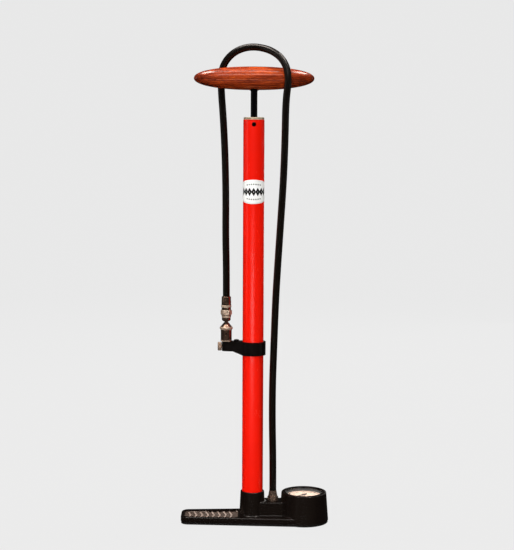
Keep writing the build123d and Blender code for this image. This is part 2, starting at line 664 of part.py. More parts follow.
turned("chuck_cap", CHUCK_X, [
    (GROMMET_BORE_R + LOOSE, CHUCK_CAP_LOW), (CHUCK_R + CHUCK_LIP - CHUCK_LIP_BEVEL, CHUCK_CAP_LOW),
    (CHUCK_R + CHUCK_LIP, CHUCK_CAP_LOW + CHUCK_LIP_BEVEL), (CHUCK_R + CHUCK_LIP, CHUCK_LOW),
    (GROMMET_BORE_R + LOOSE, CHUCK_LOW),
])
turned("chuck_stem", CHUCK_X, [
    (AIR_R, CHAMBER_LOW), (STEM_FLANGE_R, CHAMBER_LOW), (STEM_FLANGE_R, CHAMBER_LOW + 2),
    (STEM_R, CHAMBER_LOW + 2), (STEM_R, SWIVEL_TOP - 2), (AIR_R, SWIVEL_TOP - 2),
])
with BuildPart() as swivel_nut:
    with BuildSketch(Plane.XZ):
        with BuildLine():
            Polyline([(CHUCK_X + r, z) for r, z in (
                (STEM_R + SLIP, SWIVEL_LOW), (SWIVEL_R - NUT_BEVEL, SWIVEL_LOW),
                (SWIVEL_R, SWIVEL_LOW + NUT_BEVEL), (SWIVEL_R, SWIVEL_TAPER_Z),
                (SWIVEL_TAPER_R, SWIVEL_HEX_Z), (SWIVEL_HEX_R - NUT_BEVEL, SWIVEL_HEX_Z),
                (SWIVEL_HEX_R, SWIVEL_HEX_Z + NUT_BEVEL_H),
                (SWIVEL_HEX_R, SWIVEL_TOP - NUT_BEVEL_H), (SWIVEL_HEX_R - NUT_BEVEL, SWIVEL_TOP),
                (STEM_R + SLIP, SWIVEL_TOP))], close=True)
        make_face()
    revolve(axis=Axis((CHUCK_X, 0, 0), (0, 0, 1)))
    with BuildSketch(Plane.XY.offset(SWIVEL_HEX_Z)):
        with Locations((CHUCK_X, 0)):
            Circle(SWIVEL_HEX_R + 1)
            RegularPolygon(SWIVEL_HEX_R, 6, mode=Mode.SUBTRACT)
    extrude(amount=SWIVEL_TOP - SWIVEL_HEX_Z, mode=Mode.SUBTRACT)
save(swivel_nut, "swivel_nut")
turned("hose_coupler", CHUCK_X, [
    (BARB_R + SLIP, SWIVEL_TOP), (GROOVE_R, SWIVEL_TOP), (GROOVE_R, COUPLER_RING_Z - NUT_BEVEL),
    (COUPLER_R, COUPLER_RING_Z), (COUPLER_R, COUPLER_TOP - NUT_BEVEL), (COUPLER_R - NUT_BEVEL, COUPLER_TOP),
    (BARB_R + SLIP, COUPLER_TOP),
])
turned("hose_barb", CHUCK_X, [
    (AIR_R, SWIVEL_TOP - 2 + SLIP), (STEM_R, SWIVEL_TOP - 2 + SLIP), (STEM_R, SWIVEL_TOP),
    (BARB_R, SWIVEL_TOP), (BARB_R, FERRULE_TOP - 1), (AIR_R, FERRULE_TOP - 1),
])
turned("hose_ferrule", CHUCK_X, [
    (BARB_R + SLIP, COUPLER_TOP), (FERRULE_R, COUPLER_TOP), (FERRULE_TOP_R, FERRULE_TOP - NUT_BEVEL),
    (FERRULE_TOP_R - NUT_BEVEL, FERRULE_TOP), (BARB_R + SLIP, FERRULE_TOP),
])

# ---- hose and its outlet on the base -----------------------------------------------------------------
route = [Vector(*point) for point in HOSE_POINTS]
runs = [(b - a).length for a, b in zip(route, route[1:])]
turns = [math.radians((b - a).get_angle(c - b)) for a, b, c in zip(route, route[1:], route[2:])]
radii = [0.45 * min(runs[i], runs[i + 1]) / math.tan(turns[i] / 2) for i in range(len(turns))]
with BuildPart() as hose:
    with BuildLine():
        hose_line = FilletPolyline(*route, radius=radii)
    with BuildSketch(Plane(origin=route[0], z_dir=route[1] - route[0])):
        Circle(HOSE_R)
    sweep()
save(hose, "hose")
print("hose length", round(hose_line.length, 1), "volume", round(hose.part.volume),
      "section times length", round(math.pi * HOSE_R**2 * hose_line.length))
print("hose radii", [round(radius, 1) for radius in radii])

ring("outlet_washer", OUTLET_X, WEB_TOP, WEB_TOP + OUTLET_WASHER_H, OUTLET_NUT_R * 0.9,
     OUTLET_SHANK_R + LOOSE)
with BuildPart() as outlet_fitting:
    with BuildSketch(Plane.XY.offset(WEB_TOP + OUTLET_WASHER_H)):
        with Locations((OUTLET_X, 0)):
            RegularPolygon(OUTLET_NUT_R, 6)
    extrude(amount=OUTLET_NUT_TOP - WEB_TOP - OUTLET_WASHER_H)
    with Locations((OUTLET_X, 0, WEB_TOP + OUTLET_WASHER_H)):
        Cylinder(OUTLET_SHANK_R, OUTLET_SHANK_DEPTH + OUTLET_WASHER_H, align=DOWN)
    with Locations((OUTLET_X, 0, OUTLET_NUT_TOP)):
        Cylinder(BARB_R, OUTLET_FERRULE_TOP - OUTLET_NUT_TOP - 1, align=UP)
    with Locations((OUTLET_X, 0, OUTLET_FERRULE_TOP)):
        Cylinder(AIR_R, OUTLET_FERRULE_TOP, align=DOWN, mode=Mode.SUBTRACT)
save(outlet_fitting, "outlet_fitting")
turned("outlet_ferrule", OUTLET_X, [
    (BARB_R + SLIP, OUTLET_NUT_TOP), (OUTLET_FERRULE_R, OUTLET_NUT_TOP),
    (OUTLET_FERRULE_TOP_R, OUTLET_FERRULE_TOP), (BARB_R + SLIP, OUTLET_FERRULE_TOP),
])

# ---- check valve -------------------------------------------------------------------------------------
turned("valve_seat", 0, [
    (SEAT_HOLE_R, SEAT_EDGE_Z), (CHAMBER_R - SLIP, SEAT_EDGE_Z), (CHAMBER_R - SLIP, SOCKET_FLOOR),
    (SEAT_FLANGE_R, SOCKET_FLOOR), (SEAT_FLANGE_R, SOCKET_FLOOR + 1), (SEAT_HOLE_R, SOCKET_FLOOR + 1),
])
with BuildPart() as valve_ball:
    with Locations((0, 0, BALL_Z)):
        Sphere(BALL_R)
save(valve_ball, "valve_ball")

with BuildPart() as valve_spring:
    with BuildLine():
        coil = Helix(
            pitch=(BALL_Z - SPRING_TOP_DROP - CHAMBER_FLOOR - 2 * SPRING_WIRE_R) / SPRING_TURNS,
            height=BALL_Z - SPRING_TOP_DROP - CHAMBER_FLOOR - 2 * SPRING_WIRE_R,
            radius=SPRING_R,
            center=(0, 0, CHAMBER_FLOOR + SPRING_WIRE_R),
        )
    with BuildSketch(Plane(origin=coil @ 0, z_dir=coil % 0)):
        Circle(SPRING_WIRE_R)
    sweep()
save(valve_spring, "valve_spring")

# ---- gauge -------------------------------------------------------------------------------------------
POSTS = [(POST_RING * math.cos(math.radians(a)), POST_RING * math.sin(math.radians(a))) for a in POST_ANGLES]
with BuildPart() as gauge_plate:
    with BuildSketch(Plane.XY.offset(GAUGE_FLOOR)):
        with Locations((GAUGE_X, 0)):
            Circle(PLATE_R)
    extrude(amount=PLATE_H)
    with BuildSketch(Plane.XY.offset(PLATE_TOP)):
        with Locations(*[(GAUGE_X + x, y) for x, y in POSTS]):
            Circle(POST_R)
    extrude(amount=DIAL_LOW - PLATE_TOP)
    with BuildSketch(Plane.XY.offset(PLATE_TOP)):
        with Locations(*[(GAUGE_X + x, y) for x, y in TRAIN_PILLARS]):
            Circle(POST_R)
    extrude(amount=PILLAR_H)
    with Locations((AIR_RISER_X, 0, GAUGE_FLOOR)):
        Cylinder(AIR_R, PLATE_H, align=UP, mode=Mode.SUBTRACT)
save(gauge_plate, "gauge_plate")

with BuildPart() as tube_socket:
    with BuildSketch(Plane.XY.offset(PLATE_TOP)):
        with Locations(Location((GAUGE_X, 0), TUBE_START)):
            with Locations((TUBE_RING_R, -TUBE_BLOCK_BACK)):
                Rectangle(TUBE_BLOCK, TUBE_BLOCK)
    extrude(amount=TUBE_Z + TUBE_HALF_H + 1 - PLATE_TOP)
save(tube_socket, "tube_socket")

with BuildPart() as bourdon_tube:
    with BuildSketch(Plane.XZ):
        with Locations((GAUGE_X + TUBE_RING_R, TUBE_Z)):
            Ellipse(TUBE_HALF_W, TUBE_HALF_H)
    revolve(axis=Axis((GAUGE_X, 0, 0), (0, 0, 1)), revolution_arc=TUBE_SWEEP)
bourdon_tube.part = bourdon_tube.part.rotate(Axis((GAUGE_X, 0, 0), (0, 0, 1)), TUBE_START)
save(bourdon_tube, "bourdon_tube")


def train_plate(name, low):
    """A three-cornered plate that carries the gear shafts, on the pillars."""
    with BuildPart() as plate:
        with BuildSketch(Plane.XY.offset(low)):
            with Locations(*[(GAUGE_X + x, y) for x, y in TRAIN_PILLARS], (PIVOT_X, 0)):
                Circle(POST_R * 1.6)
            make_hull()
            with Locations((GAUGE_X, 0), (PIVOT_X, 0)):
                Circle(ARBOR_R + RUN, mode=Mode.SUBTRACT)
        extrude(amount=TRAIN_PLATE_H)
    save(plate, name)


train_plate("train_plate_low", LOWER_TRAIN_Z)
train_plate("train_plate_high", UPPER_TRAIN_Z)

with BuildPart() as train_spacers:
    with BuildSketch(Plane.XY.offset(LOWER_TRAIN_Z + TRAIN_PLATE_H)):
        with Locations(*[(GAUGE_X + x, y) for x, y in TRAIN_PILLARS]):
            Circle(POST_R * 0.8)
    extrude(amount=TRAIN_GAP)
save(train_spacers, "train_spacers")

with BuildPart() as gauge_pinion:
    with BuildSketch(Plane.XY.offset(GEAR_Z - PINION_OVERLAP)):
        Circle(PINION_R - TOOTH_ROOT * MODULE)
        teeth(PINION_TEETH, PINION_R, range(PINION_TEETH), 180 / PINION_TEETH)
    extrude(amount=SECTOR_H + 2 * PINION_OVERLAP)
    with Locations((0, 0, LOWER_TRAIN_Z)):
        Cylinder(ARBOR_R, NEEDLE_Z + NEEDLE_H + ARBOR_PROUD - LOWER_TRAIN_Z, align=UP)
gauge_pinion.part = gauge_pinion.part.moved(Location((GAUGE_X, 0, 0)))
save(gauge_pinion, "gauge_pinion")

with BuildPart() as sector_gear:
    with BuildSketch(Plane.XY.offset(GEAR_Z)):
        with BuildLine():
            Line((0, 0), sector_point(SECTOR_FROM))
            CenterArc((0, 0), SECTOR_R - TOOTH_ROOT * MODULE, SECTOR_FROM, SECTOR_TO - SECTOR_FROM)
            Line(sector_point(SECTOR_TO), (0, 0))
        make_face()
        Circle(ARBOR_R * 3)
        pitch = 360 / SECTOR_TEETH
        first = math.ceil((SECTOR_FROM - 180) / pitch + 0.5)
        last = math.floor((SECTOR_TO - 180) / pitch - 0.5)
        teeth(SECTOR_TEETH, SECTOR_R, range(first, last + 1), 180)
    extrude(amount=SECTOR_H)
    with Locations((0, 0, LOWER_TRAIN_Z - CRANK_DROP)):
        Cylinder(ARBOR_R, UPPER_TRAIN_Z + TRAIN_PLATE_H - LOWER_TRAIN_Z + CRANK_DROP, align=UP)
    with BuildSketch(Plane.XY.offset(LOWER_TRAIN_Z - CRANK_DROP)):
        with Locations((0, 0), (0, -CRANK_L)):
            Circle(ARBOR_EYE_R)
        make_hull()
    extrude(amount=CRANK_H)
sector_gear.part = sector_gear.part.moved(Location((PIVOT_X, 0, 0)))
save(sector_gear, "sector_gear")

tube_end = (GAUGE_X + TUBE_RING_R * math.cos(TUBE_TIP), TUBE_RING_R * math.sin(TUBE_TIP))
with BuildPart() as gauge_link:
    with BuildSketch(Plane.XY.offset(LINK_Z)):
        with Locations((PIVOT_X, -CRANK_L), tube_end):
            Circle(LINK_EYE_R)
        make_hull()
    extrude(amount=LINK_H)
save(gauge_link, "gauge_link")

ring("gauge_dial", GAUGE_X, DIAL_LOW, DIAL_TOP, DIAL_R, ARBOR_R + LOOSE)
with BuildPart() as dial_screws:
    with Locations(*[(GAUGE_X + x, y, DIAL_TOP) for x, y in POSTS[:2]]):
        Cylinder(DIAL_SCREW_R, DIAL_SCREW_H, align=UP)
save(dial_screws, "dial_screws")

with BuildPart() as gauge_needle:
    with BuildSketch(Plane.XY.offset(NEEDLE_Z)):
        Polygon((NEEDLE_L, NEEDLE_TIP_HALF), (0, NEEDLE_HALF), (-NEEDLE_TAIL, NEEDLE_TAIL_HALF),
                (-NEEDLE_TAIL, -NEEDLE_TAIL_HALF), (0, -NEEDLE_HALF), (NEEDLE_L, -NEEDLE_TIP_HALF),
                align=None)
        Circle(NEEDLE_HUB_R)
        Circle(ARBOR_R + SLIP, mode=Mode.SUBTRACT)
    extrude(amount=NEEDLE_H)
gauge_needle.part = gauge_needle.part.moved(Location((GAUGE_X, 0, 0), (0, 0, NEEDLE_REST)))
save(gauge_needle, "gauge_needle")

ring("lens_seal", GAUGE_X, GAUGE_LEDGE, LENS_LOW, LENS_R - SLIP, GAUGE_WELL_R + LOOSE)
with BuildPart() as gauge_lens:
    with Locations((GAUGE_X, 0, LENS_LOW)):
        Cylinder(LENS_R, LENS_H, align=UP)
save(gauge_lens, "gauge_lens")
ring("gauge_bezel", GAUGE_X, BEZEL_LOW, BEZEL_LOW + BEZEL_H, LENS_R, BEZEL_BORE_R)
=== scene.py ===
"""Floor bike pump: the pieces that show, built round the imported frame, in metres.

The barrel stands on the Z axis, the foot points to -X, the gauge to +X, and the viewer stands on the -Y side.
"""
import json
import math

import bmesh
import bpy
import numpy as np
from mathutils import Matrix, Vector

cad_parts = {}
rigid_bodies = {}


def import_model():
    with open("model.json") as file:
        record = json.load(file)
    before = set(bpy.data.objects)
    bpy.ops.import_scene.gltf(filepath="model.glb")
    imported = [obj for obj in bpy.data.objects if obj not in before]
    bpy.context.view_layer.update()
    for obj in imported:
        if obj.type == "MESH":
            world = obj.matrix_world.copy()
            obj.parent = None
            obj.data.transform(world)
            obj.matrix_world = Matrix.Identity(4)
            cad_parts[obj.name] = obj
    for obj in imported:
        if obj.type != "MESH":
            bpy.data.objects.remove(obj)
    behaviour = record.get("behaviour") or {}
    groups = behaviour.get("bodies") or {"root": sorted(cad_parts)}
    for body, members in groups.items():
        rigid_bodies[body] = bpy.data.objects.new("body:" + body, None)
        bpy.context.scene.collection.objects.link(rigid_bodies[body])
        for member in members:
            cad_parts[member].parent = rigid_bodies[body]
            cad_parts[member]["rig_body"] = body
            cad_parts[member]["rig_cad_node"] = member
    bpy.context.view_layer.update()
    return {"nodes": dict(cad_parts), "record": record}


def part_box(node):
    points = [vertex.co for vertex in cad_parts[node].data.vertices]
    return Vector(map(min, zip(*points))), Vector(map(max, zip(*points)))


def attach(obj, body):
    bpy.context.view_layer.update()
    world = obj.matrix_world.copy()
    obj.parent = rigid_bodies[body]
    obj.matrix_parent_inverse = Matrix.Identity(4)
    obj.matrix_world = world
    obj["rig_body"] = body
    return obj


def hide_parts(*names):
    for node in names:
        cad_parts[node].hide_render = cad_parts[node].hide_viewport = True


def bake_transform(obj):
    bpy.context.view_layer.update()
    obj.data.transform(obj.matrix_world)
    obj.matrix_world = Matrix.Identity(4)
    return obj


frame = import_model()
MM = 0.001
TAU = 2 * math.pi


def linked(name, data):
    """An object in the scene that shows the data."""
    obj = bpy.data.objects.new(name, data)
    bpy.context.scene.collection.objects.link(obj)
    return obj


# ---- camera ------------------------------------------------------------------------------------------
def make_camera():
    """A long lens two metres off, a little above the middle of the pump and tipped down to its foot."""
    distance, height, side = 2.0, 0.560, 0.0043
    tip, roll = 5.79, -0.27
    data = bpy.data.cameras.new("camera")
    data.sensor_width = 36.0
    data.lens = 92.6
    data.clip_start = 0.05
    camera = linked("camera", data)
    camera.location = (side, -distance, height)
    camera.rotation_euler = (math.radians(90 - tip), math.radians(roll), 0.0)
    bpy.context.scene.camera = camera


make_camera()


# ---- shape helpers -----------------------------------------------------------------------------------
def new_object(name, verts, faces, smooth_angle=40.0):
    """A mesh object at the origin with its doubles merged, its faces outward and its sharp edges kept."""
    mesh = bpy.data.meshes.new(name)
    mesh.from_pydata(verts, [], faces)
    work = bmesh.new()
    work.from_mesh(mesh)
    bmesh.ops.remove_doubles(work, verts=work.verts, dist=1e-7)
    bmesh.ops.dissolve_degenerate(work, edges=work.edges, dist=1e-8)
    bmesh.ops.recalc_face_normals(work, faces=work.faces)
    work.to_mesh(mesh)
    work.free()
    mesh.shade_smooth()
    mesh.set_sharp_from_angle(angle=math.radians(smooth_angle))
    return linked(name, mesh)


def quads(rows, columns, wrap_rows, wrap_columns):
    """Corner numbers of the quads of a grid of rows by columns points, closed in either direction."""
    r = np.arange(rows if wrap_rows else rows - 1)[:, None]
    c = np.arange(columns if wrap_columns else columns - 1)[None, :]
    r2, c2 = (r + 1) % rows, (c + 1) % columns
    corners = np.broadcast_arrays(r * columns + c, r2 * columns + c, r2 * columns + c2, r * columns + c2)
    return np.stack(corners, -1).reshape(-1, 4)


def grid_surface(name, points, wrap_rows=False, wrap_columns=True, smooth_angle=40.0):
    """A surface given as an array of rows by columns points."""
    rows, columns = points.shape[:2]
    faces = quads(rows, columns, wrap_rows, wrap_columns)
    return new_object(name, points.reshape(-1, 3).tolist(), faces.tolist(), smooth_angle)


def softened(corners, radius, steps=5):
    """An outline whose corners are rounded: each is a parabola between points up to radius away on its two sides."""
    corners = np.array(corners, float)
    out = [corners[:1]]
    t = np.linspace(0, 1, steps)[:, None]
    for before, corner, after in zip(corners, corners[1:], corners[2:]):
        back, on = before - corner, after - corner
        reach = min(radius, 0.45 * np.linalg.norm(back), 0.45 * np.linalg.norm(on))
        a = corner + back / np.linalg.norm(back) * reach
        b = corner + on / np.linalg.norm(on) * reach
        out.append((1 - t) ** 2 * a + 2 * t * (1 - t) * corner + t**2 * b)
    out.append(corners[-1:])
    return np.concatenate(out)


def closed_softened(corners, radius, steps=5):
    """The same for a closed outline, which starts and ends in the middle of its first side."""
    start = (np.array(corners[0], float) + corners[1]) / 2
    return softened([start, *corners[1:], corners[0], start], radius, steps)[:-1]


def turned(name, corners, centre=(0.0, 0.0), soft=0.3, segments=128, closed=True, waist=None, smooth_angle=40.0):
    """A piece turned about the vertical line through centre: (r cos a, r sin a, z) for each (r, z) of its outline.

    waist(angle, r, z) may change the radius, for flats and knurls. Millimetres in, metres out.
    """
    outline = closed_softened(corners, soft) if closed else softened(corners, soft)
    angle = np.arange(segments) * TAU / segments
    r = outline[:, 0:1] * np.ones_like(angle)
    z = outline[:, 1:2] * np.ones_like(angle)
    if waist is not None:
        r = waist(angle[None, :], r, z)
    points = np.stack([centre[0] + r * np.cos(angle), centre[1] + r * np.sin(angle), z], -1) * MM
    return grid_surface(name, points, wrap_rows=closed, smooth_angle=smooth_angle)


def aimed(obj, direction, centre):
    """Turn a piece made about +Z so that +Z points along a direction, and carry it to a centre, in its points."""
    turn = Vector((0, 0, 1)).rotation_difference(Vector(direction)).to_matrix().to_4x4()
    obj.data.transform(Matrix.Translation(Vector(centre) * MM) @ turn)
    return obj


def hexagon(corner_radius, sides=6):
    """A waist that cuts the sides of a nut, whose corners start on +X: r is at most flat / cos(angle off it)."""
    flat = corner_radius * math.cos(math.pi / sides)
    share = TAU / sides

    def waist(angle, r, z):
        off = angle % share - share / 2
        return np.minimum(r, flat / np.cos(off))

    return waist


def knurl(count, depth, low, high, least):
    """A waist with straight ridges between two heights: the radius dips by depth times a raised cosine."""
    def waist(angle, r, z):
        inside = (z > low) & (z < high) & (r > least)
        return r - inside * depth * (0.5 + 0.5 * np.cos(count * angle))

    return waist


def merged_copy(node, bevel=0.0, smooth_angle=30.0):
    """A copy of a CAD node with its triangles joined, smooth on its round faces and rounded on its sharp edges."""
    obj = frame["nodes"][node].copy()
    obj.data = obj.data.copy()
    obj.name = node + "_finished"
    obj.parent = None
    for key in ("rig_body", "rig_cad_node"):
        if key in obj:
            del obj[key]
    bpy.context.scene.collection.objects.link(obj)
    work = bmesh.new()
    work.from_mesh(obj.data)
    bmesh.ops.remove_doubles(work, verts=work.verts, dist=1e-6)
    bmesh.ops.dissolve_limit(work, angle_limit=math.radians(0.5), verts=work.verts, edges=work.edges)
    work.to_mesh(obj.data)
    work.free()
    obj.data.materials.clear()
    if "custom_normal" in obj.data.attributes:
        obj.data.attributes.remove(obj.data.attributes["custom_normal"])
    obj.data.shade_smooth()
    obj.data.set_sharp_from_angle(angle=math.radians(smooth_angle))
    if bevel:
        round_off = obj.modifiers.new("edges", "BEVEL")
        round_off.width = bevel * MM
        round_off.segments = 2
        round_off.limit_method = "ANGLE"
        round_off.angle_limit = math.radians(smooth_angle)
        round_off.harden_normals = True
    return obj


# ---- hose --------------------------------------------------------------------------------------------
HOSE_DIAMETER = 0.010
HOSE_POINTS = [
    (0.0295, 0.0000, 0.0454),
    (0.0295, 0.0000, 0.0900),
    (0.0280, -0.0042, 0.1480),
    (0.0281, -0.0088, 0.2060),
    (0.0299, -0.0122, 0.2640),
    (0.0316, -0.0146, 0.3220),
    (0.0348, -0.0168, 0.3800),
    (0.0384, -0.0188, 0.4380),
    (0.0418, -0.0204, 0.4960),
    (0.0435, -0.0216, 0.5520),
    (0.0440, -0.0232, 0.6003),
    (0.0475, -0.0240, 0.6303),
    (0.0458, -0.0188, 0.6477),
    (0.0382, -0.0111, 0.6620),
    (0.0260, -0.0022, 0.6716),
    (0.0129, 0.0080, 0.6767),
    (-0.0019, 0.0147, 0.6789),
    (-0.0172, 0.0184, 0.6767),
    (-0.0310, 0.0208, 0.6696),
    (-0.0415, 0.0224, 0.6580),
    (-0.0468, 0.0232, 0.6433),
    (-0.0468, 0.0231, 0.6187),
    (-0.0435, 0.0210, 0.5782),
    (-0.0409, 0.0178, 0.5280),
    (-0.0394, 0.0122, 0.4700),
    (-0.0395, 0.0052, 0.4140),
    (-0.0382, 0.0000, 0.3640),
    (-0.0382, 0.0000, 0.3265),
]


def spline_points(route):
    """Points along the smooth NURBS line that has the route's points as its control points."""
    curve = bpy.data.curves.new("route", "CURVE")
    curve.dimensions = "3D"
    curve.resolution_u = 14
    spline = curve.splines.new("NURBS")
    spline.points.add(len(route) - 1)
    for point, place in zip(spline.points, route):
        point.co = (*place, 1.0)
    spline.order_u = 3
    spline.use_endpoint_u = True
    holder = linked("route", curve)
    bpy.context.view_layer.update()
    line = bpy.data.meshes.new_from_object(holder)
    co = np.zeros(len(line.vertices) * 3)
    line.vertices.foreach_get("co", co)
    bpy.data.objects.remove(holder)
    bpy.data.meshes.remove(line)
    return co.reshape(-1, 3)


def tube_along(name, line, radius, sides=32):
    """A round tube along a line: each ring is radius (cos a u + sin a v), with u and v carried along untwisted.

    The length and the angle go into a UV map, in metres along and in turns round.
    """
    tangent = np.gradient(line, axis=0)
    tangent /= np.linalg.norm(tangent, axis=1)[:, None]
    u = np.zeros_like(line)
    u[0] = np.cross(tangent[0], (0.0, 1.0, 0.0))
    for i in range(1, len(line)):
        u[i] = u[i - 1] - tangent[i] * np.dot(u[i - 1], tangent[i])
        u[i] /= np.linalg.norm(u[i])
    v = np.cross(tangent, u)
    angle = np.arange(sides) * TAU / sides
    rings = line[:, None] + radius * (np.cos(angle)[:, None] * u[:, None] + np.sin(angle)[:, None] * v[:, None])
    rows = len(line)
    faces = quads(rows, sides, False, True).tolist()
    faces += [list(range(sides)), list(range((rows - 1) * sides, rows * sides))]
    mesh = bpy.data.meshes.new(name)
    mesh.from_pydata(rings.reshape(-1, 3).tolist(), [], faces)
    along = np.concatenate([[0.0], np.cumsum(np.linalg.norm(np.diff(line, axis=0), axis=1))])
    corner = np.zeros(len(mesh.loops), np.int32)
    mesh.loops.foreach_get("vertex_index", corner)
    turn = (corner % sides) / sides
    face_of = np.repeat(np.arange(len(mesh.polygons)), [len(f) for f in faces])
    last = (face_of % sides == sides - 1) & (face_of < (rows - 1) * sides) & (turn == 0)
    turn = np.where(last, 1.0, turn)
    uv = mesh.uv_layers.new(name="UVMap")
    uv.data.foreach_set("uv", np.stack([along[corner // sides], turn], -1).ravel())
    work = bmesh.new()
    work.from_mesh(mesh)
    bmesh.ops.recalc_face_normals(work, faces=work.faces)
    work.to_mesh(mesh)
    work.free()
    mesh.shade_smooth()
    mesh.set_sharp_from_angle(angle=math.radians(50))
    return linked(name, mesh), along[-1]


hose_line = spline_points(HOSE_POINTS)
hose, hose_length = tube_along("rubber_hose", hose_line, HOSE_DIAMETER / 2)
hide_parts("hose")
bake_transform(hose)


# ---- materials ---------------------------------------------------------------------------------------
class Value:
    """A socket in a material; arithmetic on it adds the Math nodes."""

    def __init__(self, paint, socket):
        self.paint = paint
        self.socket = socket

    def math(self, operation, *others):
        return self.paint.node("ShaderNodeMath", {"operation": operation}, [self, *others])

    def __add__(self, other):
        return self.math("ADD", other)

    def __sub__(self, other):
        return self.math("SUBTRACT", other)

    def __mul__(self, other):
        return self.math("MULTIPLY", other)

    def __truediv__(self, other):
        return self.math("DIVIDE", other)

    def __rsub__(self, other):
        return self.paint.node("ShaderNodeMath", {"operation": "SUBTRACT"}, [other, self])

    def __gt__(self, other):
        return self.math("GREATER_THAN", other)

    def __lt__(self, other):
        return self.math("LESS_THAN", other)

    __radd__ = __add__
    __rmul__ = __mul__

    def sine(self):
        return self.math("SINE")

    def absolute(self):
        return self.math("ABSOLUTE")

    def power(self, exponent):
        return self.math("POWER", exponent)

    def clamped(self):
        return self.paint.node("ShaderNodeClamp", {}, [self])


class Paint:
    """A material and the few ways in which its nodes are made."""

    def __init__(self, name):
        self.material = bpy.data.materials.new(name)
        self.material.use_nodes = True
        self.tree = self.material.node_tree
        self.shader = self.tree.nodes["Principled BSDF"]

    def node(self, kind, settings, inputs, output=0):
        """A node with its settings made first, then its sockets filled by number or by name."""
        made = self.tree.nodes.new(kind)
        for key, value in settings.items():
            if key == "stops":
                self.set_stops(made.color_ramp, value)
            else:
                setattr(made, key, value)
        pairs = inputs.items() if isinstance(inputs, dict) else enumerate(inputs)
        for key, value in pairs:
            if isinstance(value, Value):
                self.tree.links.new(value.socket, made.inputs[key])
            else:
                made.inputs[key].default_value = value
        return Value(self, made.outputs[output])

    @staticmethod
    def set_stops(ramp, stops):
        while len(ramp.elements) < len(stops):
            ramp.elements.new(0.5)
        for element, (place, colour) in zip(ramp.elements, stops):
            element.position = place
            element.color = (*colour, 1.0)

    def place(self, scale=(1, 1, 1), move=(0, 0, 0), turn=(0, 0, 0), kind="Object"):
        """Object or UV coordinates, scaled."""
        raw = self.node("ShaderNodeTexCoord", {}, [], kind)
        return self.node("ShaderNodeMapping", {}, {"Vector": raw, "Location": move, "Rotation": turn, "Scale": scale})

    def parts_of(self, vector):
        split = self.node("ShaderNodeSeparateXYZ", {}, [vector])
        outputs = split.socket.node.outputs
        return [Value(self, outputs[i]) for i in range(3)]

    def noise(self, vector, scale, detail=3.0, rough=0.55, distortion=0.0):
        return self.node("ShaderNodeTexNoise", {}, {
            "Vector": vector, "Scale": scale, "Detail": detail, "Roughness": rough, "Distortion": distortion})

    def ramp(self, value, stops):
        return self.node("ShaderNodeValToRGB", {"stops": stops}, [value])

    def mix(self, mask, first, second):
        made = self.tree.nodes.new("ShaderNodeMix")
        made.data_type = "RGBA"
        for key, value in ((0, mask), (6, first), (7, second)):
            if isinstance(value, Value):
                self.tree.links.new(value.socket, made.inputs[key])
            elif key == 0:
                made.inputs[key].default_value = value
            else:
                made.inputs[key].default_value = (*value, 1.0)
        return Value(self, made.outputs[2])

    def bump(self, height, distance, strength=1.0):
        return self.node("ShaderNodeBump", {}, {"Height": height, "Strength": strength, "Distance": distance})

    def set(self, **sockets):
        """Fill the shader's own sockets: Base_Color stands for Base Color."""
        for key, value in sockets.items():
            socket = self.shader.inputs[key.replace("_", " ")]
            if isinstance(value, Value):
                self.tree.links.new(value.socket, socket)
            elif isinstance(value, tuple) and len(value) == 3:
                socket.default_value = (*value, 1.0)
            else:
                socket.default_value = value
        return self.material


def enamel(name, colour, deep, rough, specular):
    """Gloss enamel: faint orange peel, a slow drift of tone and fine handling marks in the gloss."""
    paint = Paint(name)
    here = paint.place()
    drift = paint.noise(here, 14.0, 2.0)
    peel = paint.noise(here, 900.0, 2.0)
    marks = paint.noise(paint.place(scale=(1.0, 1.0, 0.25)), 160.0, 4.0, 0.7)
    return paint.set(
        Base_Color=paint.mix(drift, deep, colour),
        Roughness=rough + 0.10 * (marks - 0.5) + 0.04 * drift,
        Normal=paint.bump(peel, 0.000005, 0.3),
        Specular_IOR_Level=specular,
    )


CLAMP_ARM_END, CHUCK_FAR_SIDE = -28.5, -48.0
# The last of these is the height above which the rib tops in the pocket get a painted highlight.
POCKET_END, POCKET_FLOOR, POCKET_RIM, RIB_PAINTED_HIGHLIGHT = -20.4, 8.4, 5.2, 7.6
FOOT_TIP, FOOT_HALF, FOOT_SLOPE = -102.7, 23.0, 0.0593


def cast_enamel():
    """Black gloss enamel, with a painted reflection on the ribbed floor of the foot's pocket: a mottled grey-brown,
    lighter on the rib tops.

    The pocket is where |y| is less than the flange's half width at x, less the rim, and z is under its floor.
    """
    paint = Paint("base_enamel")
    here = paint.place()
    x, y, z = paint.parts_of(paint.place(scale=(1 / MM, 1 / MM, 1 / MM)))
    half = FOOT_HALF - POCKET_RIM + (x - FOOT_TIP) * FOOT_SLOPE
    pocket = (half > y.absolute()) * (z < POCKET_FLOOR) * (x < POCKET_END) * (x > FOOT_TIP + POCKET_RIM)
    wear = paint.noise(here, 240.0, 4.0, 0.7)
    peel = paint.noise(here, 700.0, 2.0)
    drift = paint.noise(here, 18.0, 2.0)
    gloss = paint.mix(drift, (0.0034, 0.0020, 0.0015), (0.0048, 0.0030, 0.0023))
    # Painted reflection: the pocket floor is painted a mottled grey-brown in place of the pale floor mirrored in it.
    floor = paint.mix(wear, (0.010, 0.007, 0.006), (0.120, 0.084, 0.066))
    # Painted highlight: the rib tops are painted lighter still.
    painted_reflection_colour = paint.mix(z > RIB_PAINTED_HIGHLIGHT, floor, paint.mix(wear, (0.150, 0.105, 0.085), (0.420, 0.330, 0.280)))
    return paint.set(
        Base_Color=paint.mix(pocket, gloss, painted_reflection_colour),
        Roughness=0.19 + 0.05 * drift + 0.30 * pocket,
        Normal=paint.bump(peel + pocket * wear * 3.0, 0.000008, 0.4),
        Specular_IOR_Level=0.32,
    )


